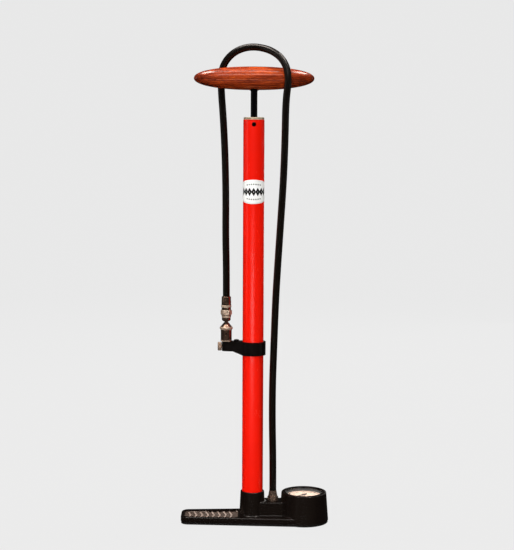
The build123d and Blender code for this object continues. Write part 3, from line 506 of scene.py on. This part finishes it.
def powder_coat(name, colour):
    """Satin powder coat: a fine pebbled skin that is a little paler and duller in patches."""
    paint = Paint(name)
    here = paint.place()
    pebble = paint.noise(here, 1400.0, 2.0)
    wear = paint.noise(here, 60.0, 4.0, 0.65)
    return paint.set(
        Base_Color=paint.mix(wear, colour, tuple(2.2 * c for c in colour)),
        Roughness=0.26 + 0.16 * wear,
        Normal=paint.bump(pebble, 0.00002, 0.4),
        Specular_IOR_Level=0.25,
    )


def rubber(name, colour, rough=0.5, kind="Object", stretch=(1, 1, 1)):
    """Moulded rubber: fine grain, dusty bloom and a soft sheen."""
    paint = Paint(name)
    grain = paint.noise(paint.place(scale=stretch, kind=kind), 900.0, 3.0, 0.6)
    bloom = paint.noise(paint.place(kind="Object"), 22.0, 4.0, 0.6)
    return paint.set(
        Base_Color=paint.mix(bloom, colour, tuple(1.8 * c + 0.004 for c in colour)),
        Roughness=rough + 0.14 * (bloom - 0.5) + 0.06 * grain,
        Normal=paint.bump(grain, 0.00003, 0.4),
        Specular_IOR_Level=0.3,
    )


def hose_rubber():
    """Extruded hose: faint lines along its length, a cloth-wrap shadow under the skin, and a satin gloss.

    The wrap is the product of two sines that wind round the hose opposite ways.
    """
    paint = Paint("hose_rubber")
    along, turn, _ = paint.parts_of(paint.place(kind="UV"))
    lines = paint.noise(paint.place(scale=(6.0, 90.0, 1.0), kind="UV"), 1.0, 3.0, 0.6)
    thread_pitch, threads = 0.0024, 4
    run, wind = along * (TAU / thread_pitch), turn * (threads * TAU)
    wrap = (run + wind).sine() * (run - wind).sine()
    bloom = paint.noise(paint.place(), 26.0, 4.0, 0.6)
    return paint.set(
        Base_Color=paint.mix(bloom, (0.0022, 0.0014, 0.0008), (0.0040, 0.0028, 0.0019)),
        Roughness=0.26 + 0.10 * bloom + 0.06 * lines,
        Normal=paint.bump(0.5 * lines + 0.08 * wrap, 0.00003, 0.5),
        Specular_IOR_Level=0.28,
    )


def metal(name, colour, dark, rough, brush=(1, 1, 1), bump=0.000004, metallic=1.0):
    """Worked metal: turning marks drawn out along one direction, and a thin tarnish in patches."""
    paint = Paint(name)
    marks = paint.noise(paint.place(scale=brush), 700.0, 3.0, 0.6)
    tarnish = paint.noise(paint.place(), 120.0, 4.0, 0.65)
    cover = ((tarnish - 0.45) * 3.0).clamped()
    return paint.set(
        Metallic=metallic,
        Base_Color=paint.mix(cover, colour, dark),
        Roughness=rough + 0.12 * cover + 0.10 * (marks - 0.5),
        Normal=paint.bump(marks, bump, 0.4),
    )


KNOB_INNER = -43.8
# Heights, in millimetres, of the painted highlight bands on the chuck's rings.
PAINTED_HIGHLIGHT_BANDS = ((262.0, 263.9), (278.9, 283.4), (296.2, 299.7), (300.4, 307.6), (311.2, 314.2))


def plated_metal():
    """Dark nickel plate with painted highlights: paler, less metallic bands between heights along its axis, on the
    turned rings.

    The rings are the heights in the band table above, in millimetres above the floor, all on the chuck. The knurled
    knob below them, past KNOB_INNER, and the hose fitting on the base, at x above 0, get a weaker painted highlight.
    """
    paint = Paint("chuck_nickel")
    x, _, z = paint.parts_of(paint.place(scale=(1 / MM, 1 / MM, 1 / MM)))
    on_chuck = (x < CLAMP_ARM_END) * (x > CHUCK_FAR_SIDE)
    painted_highlight_band = 0.0
    for low, high in PAINTED_HIGHLIGHT_BANDS:
        painted_highlight_band = (z > low) * (z < high) + painted_highlight_band
    # Painted highlight, weaker, on the knurled knob and on the outlet fitting.
    painted_highlight_band = painted_highlight_band * on_chuck + (x < KNOB_INNER) * (z < PAINTED_HIGHLIGHT_BANDS[0][0]) * 0.6 + (x > 0.0) * 0.2
    marks = paint.noise(paint.place(scale=(1, 1, 14)), 700.0, 3.0, 0.6)
    tarnish = paint.noise(paint.place(), 130.0, 4.0, 0.65)
    cover = ((tarnish - 0.42) * 3.0).clamped()
    dull = paint.mix(cover, (0.24, 0.155, 0.115), (0.085, 0.048, 0.035))
    # Painted highlight colour of the bands: paler metal, with the tarnish over it.
    painted_reflection_colour = paint.mix(cover, (0.54, 0.41, 0.31), (0.32, 0.215, 0.155))
    return paint.set(
        # Less metallic in the bands, so that the washes light the painted highlight like a paint.
        Metallic=0.92 - 0.50 * painted_highlight_band,
        Base_Color=paint.mix(painted_highlight_band, dull, painted_reflection_colour),
        Roughness=0.20 + 0.10 * cover + 0.06 * painted_highlight_band + 0.08 * (marks - 0.5),
        Normal=paint.bump(marks, 0.000004, 0.4),
    )


def varnished_wood():
    """Turned hardwood, darker towards its tips, partly end grain and partly painted shade: growth rings, long fibres,
    pores and a clear varnish.

    The rings are sin(frequency x distance) about a pith beside the handle, warped a little.
    """
    paint = Paint("handle_wood")
    warp = paint.noise(paint.place(scale=(3.0, 14.0, 14.0)), 2.0, 3.0, 0.6)
    _, y, z = paint.parts_of(paint.place(move=(0.0, 0.010, -0.655)))
    ring_frequency, ring_warp = 2600.0, 16.0
    ring = (y * y + z * z).power(0.5) * ring_frequency + warp * ring_warp
    late = (ring.sine() * 0.5 + 0.5).power(2.0)
    fibre = paint.noise(paint.place(scale=(40.0, 300.0, 300.0)), 3.0, 4.0, 0.75)
    streak = paint.noise(paint.place(scale=(9.0, 60.0, 60.0)), 3.0, 3.0, 0.6)
    end_starts, end_length = 45.0, 40.0
    x = paint.parts_of(paint.place(scale=(1 / MM, 1, 1)))[0]
    # Darker towards the tips: partly end grain, partly painted shade standing in for the dark edges of the tips.
    end_grain_and_shade = ((x.absolute() - end_starts) / end_length).clamped()
    fleck = paint.noise(paint.place(scale=(60.0, 420.0, 420.0)), 2.0, 2.0, 0.5)
    pore = ((fleck - 0.57) * 9.0).clamped()
    tone = ((0.50 * streak + 0.50 * fibre + 0.12 * late - 0.56) * 1.25 + 0.56 - 0.20 * end_grain_and_shade).clamped()
    colour = paint.ramp(tone, [
        (0.26, (0.060, 0.0062, 0.0014)),
        (0.42, (0.160, 0.0170, 0.0028)),
        (0.57, (0.340, 0.0370, 0.0044)),
        (0.78, (0.660, 0.1050, 0.0130)),
    ])
    return paint.set(
        Base_Color=paint.mix(pore * 0.45, colour, (0.060, 0.010, 0.004)),
        Roughness=0.36 + 0.14 * fibre,
        Normal=paint.bump(fibre * 0.5 - pore * 0.8, 0.00003, 0.35),
        Specular_IOR_Level=0.10,
        Coat_Weight=0.6,
        Coat_Roughness=0.14,
    )


def leather():
    """Oiled leather: a creased grain over a mottled brown."""
    paint = Paint("cup_leather")
    crease = paint.node("ShaderNodeTexVoronoi", {}, {"Vector": paint.place(), "Scale": 900.0})
    mottle = paint.noise(paint.place(), 140.0, 4.0)
    return paint.set(
        Base_Color=paint.mix(mottle, (0.12, 0.055, 0.022), (0.30, 0.16, 0.07)),
        Roughness=0.48 + 0.15 * mottle,
        Normal=paint.bump(crease, 0.0002, 0.5),
    )


def felt():
    """Pressed felt: a dark fuzzy noise."""
    paint = Paint("wiper_felt")
    fuzz = paint.noise(paint.place(), 2500.0, 4.0, 0.8)
    return paint.set(
        Base_Color=paint.mix(fuzz, (0.02, 0.02, 0.02), (0.08, 0.08, 0.08)),
        Roughness=0.9,
        Normal=paint.bump(fuzz, 0.0003, 0.6),
        Sheen_Weight=0.4,
    )


def printed_dial():
    """Matt cream enamel with a faint warm mottle."""
    paint = Paint("dial_cream")
    mottle = paint.noise(paint.place(), 90.0, 3.0)
    grain = paint.noise(paint.place(), 1500.0, 2.0)
    return paint.set(
        Base_Color=paint.mix(mottle, (0.78, 0.56, 0.43), (0.85, 0.64, 0.50)),
        Roughness=0.5 + 0.1 * grain,
        Normal=paint.bump(grain, 0.00001, 0.3),
    )


def clear_glass():
    """Window glass that is mostly see-through, with dust and wipe marks in its gloss."""
    paint = Paint("lens_glass")
    dust = paint.noise(paint.place(), 70.0, 5.0, 0.7)
    return paint.set(
        Base_Color=(0.9, 0.92, 0.9),
        Roughness=0.03 + 0.06 * dust,
        Alpha=0.03 + 0.03 * dust,
        Specular_IOR_Level=0.2,
    )


LABEL_HALF_W, LABEL_HALF_H, LABEL_Z = 32.5, 17.0, 475.7


def printed_label():
    """White oval with a thin rim line, a bowed dotted row above and below, and a dark row of diamonds.

    The UV map gives arc length and height from the oval's middle, both in millimetres.
    """
    paint = Paint("label_print")
    across, up, _ = paint.parts_of(paint.place(kind="UV"))
    from_middle = ((across / LABEL_HALF_W).power(2.0) + (up / LABEL_HALF_H).power(2.0)).power(0.5)
    rim = (from_middle > 0.90) * (from_middle < 0.935)
    pitch, steepness, half_height, hole = 5.8, 1.75, 6.0, 0.9
    step = ((across / pitch + 0.5).math("FRACT") - 0.5).absolute() * pitch
    lozenge = step * steepness + up.absolute()
    chain = ((lozenge < half_height) * (lozenge > hole)) * (across.absolute() < pitch * 3.5)
    dot_pitch, row_height, row_sag, dot_r_squared, row_half = 3.2, 10.6, 0.010, 1.10, 11.4
    dot_step = ((across / dot_pitch + 0.5).math("FRACT") - 0.5) * dot_pitch
    dot_up = up.absolute() - row_height + across * across * row_sag
    dots = ((dot_step * dot_step + dot_up * dot_up) < dot_r_squared) * (across.absolute() < row_half)
    ink = (rim * 0.25 + chain + dots * 0.8).clamped()
    film = paint.noise(paint.place(), 300.0, 3.0)
    return paint.set(
        Base_Color=paint.mix(ink, (0.92, 0.93, 0.92), (0.003, 0.0035, 0.004)),
        Roughness=0.28 + 0.1 * film,
        Normal=paint.bump(film, 0.00001, 0.3),
        Specular_IOR_Level=0.3,
    )


MATERIALS = {
    "base_enamel": cast_enamel(),
    "barrel_enamel": enamel("barrel_enamel", (0.84, 0.0100, 0.0022), (0.76, 0.0070, 0.0016), 0.24, 0.30),
    "sole_rubber": rubber("sole_rubber", (0.0040, 0.0034, 0.0032), 0.5),
    "seal_rubber": rubber("seal_rubber", (0.016, 0.016, 0.016), 0.55),
    "hose_rubber": hose_rubber(),
    "cap_brass": metal("cap_brass", (0.60, 0.50, 0.35), (0.40, 0.32, 0.21), 0.42, (1, 1, 8), metallic=0.45),
    "bush_plastic": powder_coat("bush_plastic", (0.36, 0.34, 0.30)),
    "wiper_felt": felt(),
    "screw_black": metal("screw_black", (0.020, 0.018, 0.018), (0.010, 0.009, 0.009), 0.40),
    "clamp_black": powder_coat("clamp_black", (0.0016, 0.0011, 0.0010)),
    "chuck_nickel": plated_metal(),
    "works_brass": metal("works_brass", (0.72, 0.53, 0.25), (0.50, 0.34, 0.14), 0.30, (1, 1, 6)),
    "works_steel": metal("works_steel", (0.56, 0.56, 0.57), (0.34, 0.33, 0.32), 0.28, (1, 1, 6)),
    "works_aluminium": metal("works_aluminium", (0.72, 0.72, 0.74), (0.5, 0.5, 0.51), 0.32, (1, 1, 10)),
    "dial_cream": printed_dial(),
    "needle_black": powder_coat("needle_black", (0.006, 0.006, 0.006)),
    "lens_glass": clear_glass(),
    "rod_black": enamel("rod_black", (0.0014, 0.0014, 0.0018), (0.0010, 0.0010, 0.0012), 0.16, 0.12),
    "cup_leather": leather(),
    "handle_wood": varnished_wood(),
}
hose.data.materials.append(MATERIALS["hose_rubber"])

for part in frame["record"]["subparts"]:
    node = frame["nodes"][part["node"]]
    for slot in node.material_slots:
        slot.material = MATERIALS[part["material_slot"]]


def fit(obj, body, slot, *nodes, material=None):
    """Put a finished piece on its body, in its slot, in its material, and in place of its CAD nodes."""
    obj.data.materials.clear()
    obj.data.materials.append(material or MATERIALS[slot])
    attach(obj, body)
    if nodes:
        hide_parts(*nodes)
    return obj


# ---- sizes, in millimetres, from the frame ------------------------------------------------------------
def box_mm(node):
    low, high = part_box(node)
    return np.array(low) / MM, np.array(high) / MM


barrel_low, barrel_high = box_mm("barrel_tube")
BARREL_R = barrel_high[0]
cap_low, cap_high = box_mm("top_cap")
CAP_R = cap_high[0]
BARREL_WALL = 1.1
BORE_R = CAP_R - BARREL_WALL
rod_low, rod_high = box_mm("plunger_rod")
ROD_R = rod_high[0]
handle_low, handle_high = box_mm("handle")
HANDLE_Z = (handle_low[2] + handle_high[2]) / 2
HANDLE_HALF = 85.0
HANDLE_R = 16.4
chuck_low, chuck_high = box_mm("chuck_body")
CHUCK = ((chuck_low[0] + chuck_high[0]) / 2, 0.0)
outlet_low, outlet_high = box_mm("outlet_fitting")
OUTLET = ((outlet_low[0] + outlet_high[0]) / 2, 0.0)
lens_low, lens_high = box_mm("gauge_lens")
GAUGE = ((lens_low[0] + lens_high[0]) / 2, 0.0)


# ---- base --------------------------------------------------------------------------------------------
fit(merged_copy("base_casting", 0.5), "pump", "base_enamel", "base_casting")
fit(merged_copy("base_sole", 0.5), "pump", "sole_rubber", "base_sole")


def outlet_pieces():
    """The hexagonal hose fitting with its washer, and the crimped ferrule over it."""
    foot, top = box_mm("outlet_washer")[0][2], box_mm("outlet_ferrule")[0][2]
    corner = 7.8
    nut = turned("outlet_nut", [
        (0.5, foot), (7.0, foot), (corner, foot + 0.9), (corner, top - 1.2), (6.6, top), (0.5, top)],
        OUTLET, 0.35, 144, waist=hexagon(corner), smooth_angle=25)
    fit(nut, "pump", "chuck_nickel", "outlet_fitting", "outlet_washer")
    end = box_mm("outlet_ferrule")[1][2]
    crimp = [(3.2, top), (6.5, top), (6.5, top + 1.0), (6.0, top + 1.6), (6.2, top + 2.4), (5.8, top + 3.4),
             (5.9, top + 4.4), (5.5, top + 6.0), (5.3, end - 0.1), (5.05, end), (3.2, end)]
    fit(turned("outlet_ferrule_crimped", crimp, OUTLET, 0.5), "pump", "chuck_nickel", "outlet_ferrule")


outlet_pieces()


def valve_coil():
    """The spring of the check valve, a merged copy in steel that stays where it is; in the pump its head goes down
    with the ball.
    """
    coil = merged_copy("valve_spring")
    coil.data.materials.append(MATERIALS["works_steel"])
    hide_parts("valve_spring")
    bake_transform(coil)


valve_coil()


# ---- barrel ------------------------------------------------------------------------------------------
def barrel_pieces():
    """The enamelled tube, and its bronzed cap with turned steps."""
    low, high = barrel_low[2], barrel_high[2]
    tube = turned("enamelled_barrel", [
        (BORE_R, low), (BARREL_R, low), (BARREL_R, high), (BORE_R, high)], soft=0.4, segments=192)
    fit(tube, "pump", "barrel_enamel", "barrel_tube")
    top = cap_high[2]
    step = barrel_high[2]
    cap = turned("turned_cap", [
        (6.5, cap_low[2]), (BORE_R - 0.1, cap_low[2]), (BORE_R - 0.1, step), (CAP_R, step), (CAP_R, top - 0.8),
        (CAP_R - 0.8, top), (9.4, top), (9.0, top - 0.5), (8.2, top - 0.5), (7.8, top), (6.5, top)],
        soft=0.25, segments=160)
    fit(cap, "pump", "cap_brass", "top_cap")


barrel_pieces()


def set_screws():
    """Three domed socket screws round the top of the barrel, each turned about a line through the axis."""
    low, high = box_mm("cap_set_screws")
    middle = (low[2] + high[2]) / 2
    for number in range(3):
        angle = math.radians(-90 + 120 * number)
        out = (math.cos(angle), math.sin(angle), 0.0)
        head = turned(f"set_screw_{number}", [
            (0.0, -1.6), (3.0, -1.6), (3.0, 0.05), (2.4, 0.45), (1.25, 0.55), (1.2, 0.30), (0.0, 0.30)],
            soft=0.15, segments=48, closed=False)
        aimed(head, out, (BARREL_R * out[0], BARREL_R * out[1], middle))
        fit(head, "pump", "screw_black", *(["cap_set_screws"] if number == 0 else []))


set_screws()


def wrapped_label():
    """The oval: arc = a s cos t and height = b s sin t, laid on the barrel at angle arc / radius."""
    s = np.linspace(0, 1, 25)[:, None]
    t = (np.arange(96) * TAU / 96)[None, :]
    arc = LABEL_HALF_W * s * np.cos(t)
    up = LABEL_HALF_H * s * np.sin(t)
    lift = BARREL_R + 0.12 - 0.10 * np.maximum(0.0, s - 0.98) / 0.02 * np.ones_like(t)
    angle = arc / BARREL_R
    points = np.stack([lift * np.sin(angle), -lift * np.cos(angle), LABEL_Z + up], -1) * MM
    rows, columns = points.shape[:2]
    faces = quads(rows, columns, False, True)
    mesh = bpy.data.meshes.new("oval_label")
    mesh.from_pydata(points.reshape(-1, 3).tolist(), [], faces[:, ::-1].tolist())
    corner = np.zeros(len(mesh.loops), np.int32)
    mesh.loops.foreach_get("vertex_index", corner)
    flat = np.stack([arc, up], -1).reshape(-1, 2)
    mesh.uv_layers.new(name="UVMap").data.foreach_set("uv", flat[corner].ravel())
    work = bmesh.new()
    work.from_mesh(mesh)
    bmesh.ops.remove_doubles(work, verts=work.verts, dist=1e-7)
    work.to_mesh(mesh)
    work.free()
    mesh.shade_smooth()
    label = linked("oval_label", mesh)
    fit(label, "pump", "bush_plastic", material=printed_label())
    backing = label.modifiers.new("film", "SOLIDIFY")
    backing.thickness = 0.08 * MM
    backing.offset = -1.0


wrapped_label()


# ---- plunger -----------------------------------------------------------------------------------------
def plunger_pieces():
    """The rod with its rounded ends and the flanged collar."""
    rod = turned("enamelled_rod", [(0.0, rod_low[2]), (ROD_R, rod_low[2]), (ROD_R, rod_high[2]), (0.0, rod_high[2])],
                 soft=0.6, segments=64, closed=False)
    fit(rod, "plunger", "rod_black", "plunger_rod")
    low, high = box_mm("handle_collar")
    collar = turned("flanged_collar", [
        (ROD_R, low[2]), (5.9, low[2]), (6.2, low[2] + 0.5), (high[0], low[2] + 0.9), (high[0], high[2]),
        (ROD_R, high[2])],
        soft=0.3, segments=96)
    fit(collar, "plunger", "rod_black", "handle_collar")


plunger_pieces()


def wooden_handle():
    """Superellipse turned about X: r = b (1 - |x / a| ^ 2.2) ^ (1 / 2.2), with points closer together at the tips."""
    power = 2.2
    share = np.sin(np.linspace(-math.pi / 2, math.pi / 2, 181))
    angle = np.arange(128) * TAU / 128
    x = (HANDLE_HALF - 0.5) * share[:, None] * np.ones_like(angle)
    r = HANDLE_R * (1 - np.abs(share[:, None]) ** power).clip(0) ** (1 / power) * np.ones_like(angle)
    points = np.stack([x, r * np.sin(angle), HANDLE_Z + r * np.cos(angle)], -1) * MM
    fit(grid_surface("turned_handle", points, smooth_angle=80), "plunger", "handle_wood", "handle")


wooden_handle()


# ---- dock --------------------------------------------------------------------------------------------
def dock_pieces():
    """The clamp ring with its arm, the button-headed screw on it and the knurled thumb screw at its end."""
    fit(merged_copy("barrel_clamp", 0.7), "pump", "clamp_black", "barrel_clamp")
    low, high = box_mm("dock_screw")
    x = (low[0] + high[0]) / 2
    r, foot, top = (high[0] - low[0]) / 2, high[2] - 2.8, high[2]
    head = turned("button_screw", [
        (0.0, foot - 7), (2.1, foot - 7), (2.1, foot), (r, foot), (r, foot + 0.7), (3.4, top - 0.35), (2.4, top),
        (1.7, top), (1.5, top - 1.5), (0.0, top - 1.5)], (x, 0.0), 0.7, 96, closed=False)
    fit(head, "pump", "screw_black", "dock_screw")
    low, high = box_mm("thumb_screw")
    radius = (high[2] - low[2]) / 2
    width = 5.6
    middle = (low[2] + high[2]) / 2
    shank = high[0] - low[0] - width
    knob = turned("knurled_thumb_screw", [
        (0.0, -shank), (2.4, -shank), (2.4, 0.0), (radius - 0.8, 0.0), (radius, 0.6), (radius, width - 0.6),
        (radius - 0.7, width), (4.2, width), (3.9, width - 0.5), (0.0, width - 0.5)],
        (0.0, 0.0), 0.3, 216, closed=False, waist=knurl(27, 0.45, 0.5, width - 0.5, radius - 1.0), smooth_angle=30)
    aimed(knob, (-1, 0, 0), (low[0] + width, 0.0, middle))
    fit(knob, "thumb_screw", "chuck_nickel", "thumb_screw")


dock_pieces()


# ---- chuck and hose end ------------------------------------------------------------------------------
def chuck_pieces():
    """The stack on the dock, from the chuck's lip up to the ferrule, each piece turned about the same line.

    The cone over the rim is r = rim - (rim - neck) share ^ hollowness, at a share of its height.
    """
    low, top = chuck_low[2], chuck_high[2]
    body_r, rim_r, neck_r, rim_z = 7.8, 9.3, 3.5, 282.6
    hollowness = 0.85
    share = np.linspace(0.06, 1, 12)
    flare = np.stack([rim_r - (rim_r - neck_r) * share**hollowness, rim_z + (top - rim_z) * share], -1)
    body = turned("turned_chuck", [
        (5.62, low), (body_r, low), (body_r, 278.7), (8.2, 279.0), (rim_r, 280.2), (rim_r, rim_z - 0.5),
        (rim_r - 0.3, rim_z), *flare.tolist(), (2.76, top), (2.76, 284.5), (4.3, 284.5), (4.3, 274.0),
        (5.62, 274.0)], CHUCK, 0.35, 128)
    fit(body, "chuck", "chuck_nickel", "chuck_body")
    pin = turned("chuck_pin", [
        (0.0, -1.0), (1.45, -1.0), (1.45, 0.0), (1.25, 0.15), (0.7, 0.15), (0.6, -0.3), (0.0, -0.3)],
        soft=0.1, segments=40, closed=False)
    pin_sunk, pin_z = 0.05, 273.0
    aimed(pin, (0, -1, 0), (CHUCK[0], pin_sunk - body_r, pin_z))
    fit(pin, "chuck", "screw_black")
    bottom = box_mm("chuck_cap")[0][2]
    lip = turned("chuck_lip", [
        (3.3, bottom), (7.5, bottom), (8.0, bottom + 0.5), (8.0, low), (3.3, low)], CHUCK, 0.3, 128)
    fit(lip, "chuck", "chuck_nickel", "chuck_cap")
    foot, head = box_mm("swivel_nut")[0][2], box_mm("swivel_nut")[1][2]
    corner = 8.1
    nut = turned("swivel_hex", [
        (2.72, foot), (4.6, foot), (6.3, foot + 2.0), (6.3, 295.0), (5.9, 295.6), (6.5, 296.4), (6.7, 299.4),
        (7.2, 300.0), (corner, 301.4), (corner, head - 1.6), (7.0, head), (2.72, head)],
        CHUCK, 0.35, 144, waist=hexagon(corner), smooth_angle=28)
    fit(nut, "hose_end", "chuck_nickel", "swivel_nut")
    ring_top = box_mm("hose_coupler")[1][2]
    coupler = turned("coupler_ring", [
        (3.02, head), (6.6, head), (6.6, 310.4), (7.2, 311.0), (7.2, ring_top - 0.6), (6.7, ring_top),
        (3.02, ring_top)],
        CHUCK, 0.3, 128)
    fit(coupler, "hose_end", "chuck_nickel", "hose_coupler")
    end = box_mm("hose_ferrule")[1][2]
    ferrule = turned("crimped_ferrule", [
        (3.02, ring_top), (6.9, ring_top), (6.9, 316.0), (6.6, 316.6), (6.85, 317.6), (6.8, 321.0), (6.5, 321.8),
        (6.7, 322.8), (6.6, end - 0.8), (6.0, end), (3.02, end)], CHUCK, 0.4, 128)
    fit(ferrule, "hose_end", "chuck_nickel", "hose_ferrule")
    return [ferrule, coupler, nut, body, lip]


chuck_stack = chuck_pieces()


# ---- gauge -------------------------------------------------------------------------------------------
def gauge_pieces():
    """Bezel, lens and dial; gives back the height of the dial's face, where the printed marks stand as thin raised
    shapes.
    """
    low, high = box_mm("gauge_bezel")
    outer = (high[0] - low[0]) / 2
    bezel = turned("rolled_bezel", [
        (25.4, low[2]), (outer, low[2]), (outer, high[2] - 0.2), (outer - 0.4, high[2]), (25.9, high[2]),
        (25.4, high[2] - 0.5)], GAUGE, 0.3, 160)
    fit(bezel, "pump", "clamp_black", "gauge_bezel")
    low, high = lens_low, lens_high
    radius = (high[0] - low[0]) / 2
    glass = turned("gauge_glass", [
        (0.0, low[2]), (radius, low[2]), (radius, high[2]), (0.0, high[2])], GAUGE, 0.3, 128, closed=False)
    fit(glass, "pump", "lens_glass", "gauge_lens")
    low, high = box_mm("gauge_dial")
    radius = (high[0] - low[0]) / 2
    dial = turned("enamelled_dial", [
        (1.1, low[2]), (radius, low[2]), (radius, high[2]), (1.1, high[2])], GAUGE, 0.15, 160)
    fit(dial, "pump", "dial_cream", "gauge_dial")
    return high[2]


def flat_shapes(name, outlines, z, thickness=0.05):
    """Thin plates of closed outlines, in millimetres about the gauge's centre, standing at height z."""
    verts, faces = [], []
    for outline in outlines:
        first, n = len(verts), len(outline)
        verts += [((GAUGE[0] + x) * MM, y * MM, z * MM) for x, y in outline]
        verts += [((GAUGE[0] + x) * MM, y * MM, (z + thickness) * MM) for x, y in outline]
        faces.append([first + i for i in range(n)][::-1])
        faces.append([first + n + i for i in range(n)])
        faces += [[first + i, first + (i + 1) % n, first + n + (i + 1) % n, first + n + i] for i in range(n)]
    return new_object(name, verts, faces, 30)


def dial_marks(z):
    """Long and short ticks and a scale ring over 270 degrees, with numbers from 0 to 160."""
    start, sweep, steps, most = 225.0, 270.0, 32, 160
    ring_in, ring_out, figure_r, figure_height = 22.4, 22.75, 15.8, 4.0
    bars = []
    for step in range(steps + 1):
        a = math.radians(start - sweep * step / steps)
        inner, half = (19.0, 0.32) if step % 4 == 0 else (20.6, 0.16)
        ca, sa = math.cos(a), math.sin(a)
        bars.append([(r * ca - s * sa, r * sa + s * ca) for r, s in (
            (inner, -half), (ring_in, -half), (ring_in, half), (inner, half))])
    for step in range(steps * 2):
        a0 = math.radians(start - sweep * step / (steps * 2))
        a1 = math.radians(start - sweep * (step + 1) / (steps * 2))
        bars.append([(r * math.cos(a), r * math.sin(a)) for r, a in (
            (ring_in, a0), (ring_in, a1), (ring_out, a1), (ring_out, a0))])
    fit(flat_shapes("dial_ticks", bars, z), "pump", "needle_black")
    for number in range(0, most + 1, 20):
        a = math.radians(start - sweep * number / most)
        text = bpy.data.curves.new(f"figure_{number}", "FONT")
        text.body = str(number)
        text.size = figure_height * MM
        text.extrude = 0.025 * MM
        text.align_x = "CENTER"
        text.align_y = "CENTER"
        holder = linked(f"figure_{number}", text)
        bpy.context.view_layer.update()
        mesh = bpy.data.meshes.new_from_object(holder)
        bpy.data.objects.remove(holder)
        figure = linked(f"figure_{number}", mesh)
        co = np.zeros(len(mesh.vertices) * 3)
        mesh.vertices.foreach_get("co", co)
        centre = np.array([GAUGE[0] + figure_r * math.cos(a), figure_r * math.sin(a), z + 0.03])
        co = co.reshape(-1, 3) + centre * MM
        mesh.vertices.foreach_set("co", co.ravel())
        mesh.update()
        fit(figure, "pump", "needle_black")


dial_marks(gauge_pieces())


# ---- stage and light ---------------------------------------------------------------------------------
def make_stage():
    """A pale floor that rises round the object as a bowl: a flat disc, a quarter turn of 3 m, and a wall.

    It is seen by the camera only, so that the gloss of the object mirrors the lights and not the room.
    """
    flat, bend, top = 3.0, 3.0, 12.0
    turn = np.linspace(0, math.pi / 2, 25)
    radius = np.concatenate([[0.001, flat / 2], flat + bend * np.sin(turn), [flat + bend, 0.001]])
    height = np.concatenate([[0.0, 0.0], bend * (1 - np.cos(turn)), [top, top]]) - 0.0002
    angle = np.arange(96) * TAU / 96
    points = np.stack([
        radius[:, None] * np.cos(angle), radius[:, None] * np.sin(angle), height[:, None] * np.ones_like(angle)], -1)
    bowl = grid_surface("pale_floor", points, smooth_angle=60)
    bowl.visible_diffuse = False
    bowl.visible_glossy = False
    bowl.visible_shadow = False
    paint = Paint("floor_paint")
    dust = paint.noise(paint.place(), 3.0, 2.0)
    bowl.data.materials.append(paint.set(
        Base_Color=paint.mix(dust, (0.012, 0.012, 0.012), (0.014, 0.014, 0.014)), Roughness=1.0,
        Specular_IOR_Level=0.0, Emission_Color=(1.0, 1.0, 1.0), Emission_Strength=0.808))


def soft_box(name, place, aim, size, power, colour=(1.0, 1.0, 1.0), mirrored=True, spread=180):
    """A rectangular studio light at a place, turned to face a point; unmirrored ones leave no highlight."""
    data = bpy.data.lights.new(name, "AREA")
    data.shape = "RECTANGLE"
    data.size, data.size_y = size
    data.energy = power
    data.color = colour
    data.spread = math.radians(spread)
    light = linked(name, data)
    light.location = place
    light.rotation_euler = (Vector(aim) - Vector(place)).to_track_quat("-Z", "Y").to_euler()
    light.visible_glossy = mirrored
    light.visible_camera = False


def make_light():
    """A dim room, broad washes that leave no highlight, and narrower boxes that draw the highlights."""
    world = bpy.data.worlds.new("studio")
    bpy.context.scene.world = world
    world.use_nodes = True
    back = world.node_tree.nodes["Background"]
    back.inputs["Color"].default_value = (1.0, 0.97, 0.94, 1.0)
    back.inputs["Strength"].default_value = 0.022
    warm = (1.0, 0.95, 0.90)
    soft_box("wash_front", (-0.5, -1.8, 1.9), (0, 0, 0.35), (1.2, 1.2), 28, mirrored=False)
    soft_box("wash_top", (0.0, -0.2, 2.5), (0, 0, 0.35), (1.0, 0.8), 8, mirrored=False)
    soft_box("wash_low", (-0.2, -1.5, 0.12), (0, 0, 0.06), (0.9, 0.3), 3.1, mirrored=False, spread=70)
    soft_box("floor_glow", (0.0, -1.0, 0.0), (0, -0.9, 1.0), (1.5, 1.3), 0.75, (1.0, 0.80, 0.62))
    soft_box("wash_back", (0.2, 1.9, 1.5), (0, 0, 0.35), (1.4, 1.2), 40, mirrored=False)
    soft_box("wash_sides_left", (-2.2, 0.6, 1.2), (0, 0, 0.35), (1.0, 1.2), 10, mirrored=False)
    soft_box("wash_sides_right", (2.2, 0.6, 1.2), (0, 0, 0.35), (1.0, 1.2), 16, mirrored=False)
    soft_box("streak_left", (-1.0, -1.6, 0.55), (0, 0, 0.35), (0.10, 1.7), 0.2, warm)
    soft_box("streak_right", (0.45, -2.1, 0.55), (0, 0, 0.35), (0.10, 1.7), 0.15, warm)
    soft_box("edge_left", (-1.9, -0.45, 0.75), (0, 0, 0.5), (0.25, 1.3), 2.4, warm)
    soft_box("edge_right", (1.9, -0.45, 0.75), (0, 0, 0.5), (0.25, 1.3), 2.2, warm)
    soft_box("streak_high", (-0.1, -1.9, 2.1), (0, 0, 0.35), (1.3, 0.35), 7.5, warm)
    soft_box("streak_top", (-0.05, -0.55, 2.4), (0, 0, 0.3), (0.8, 0.25), 5.0, warm)
    soft_box("tip_left", (-0.62, 0.05, 2.1), (0, 0, 0.65), (0.75, 0.34), 22.0, (1.0, 0.90, 0.82))
    soft_box("tip_right", (0.62, 0.05, 2.1), (0, 0, 0.65), (0.75, 0.34), 22.0, (1.0, 0.90, 0.82))
    soft_box("streak_back", (0.7, 1.9, 1.0), (0, 0, 0.40), (0.35, 1.9), 4.5, warm)
    bpy.context.scene.view_settings.view_transform = "Standard"


make_stage()
make_light()
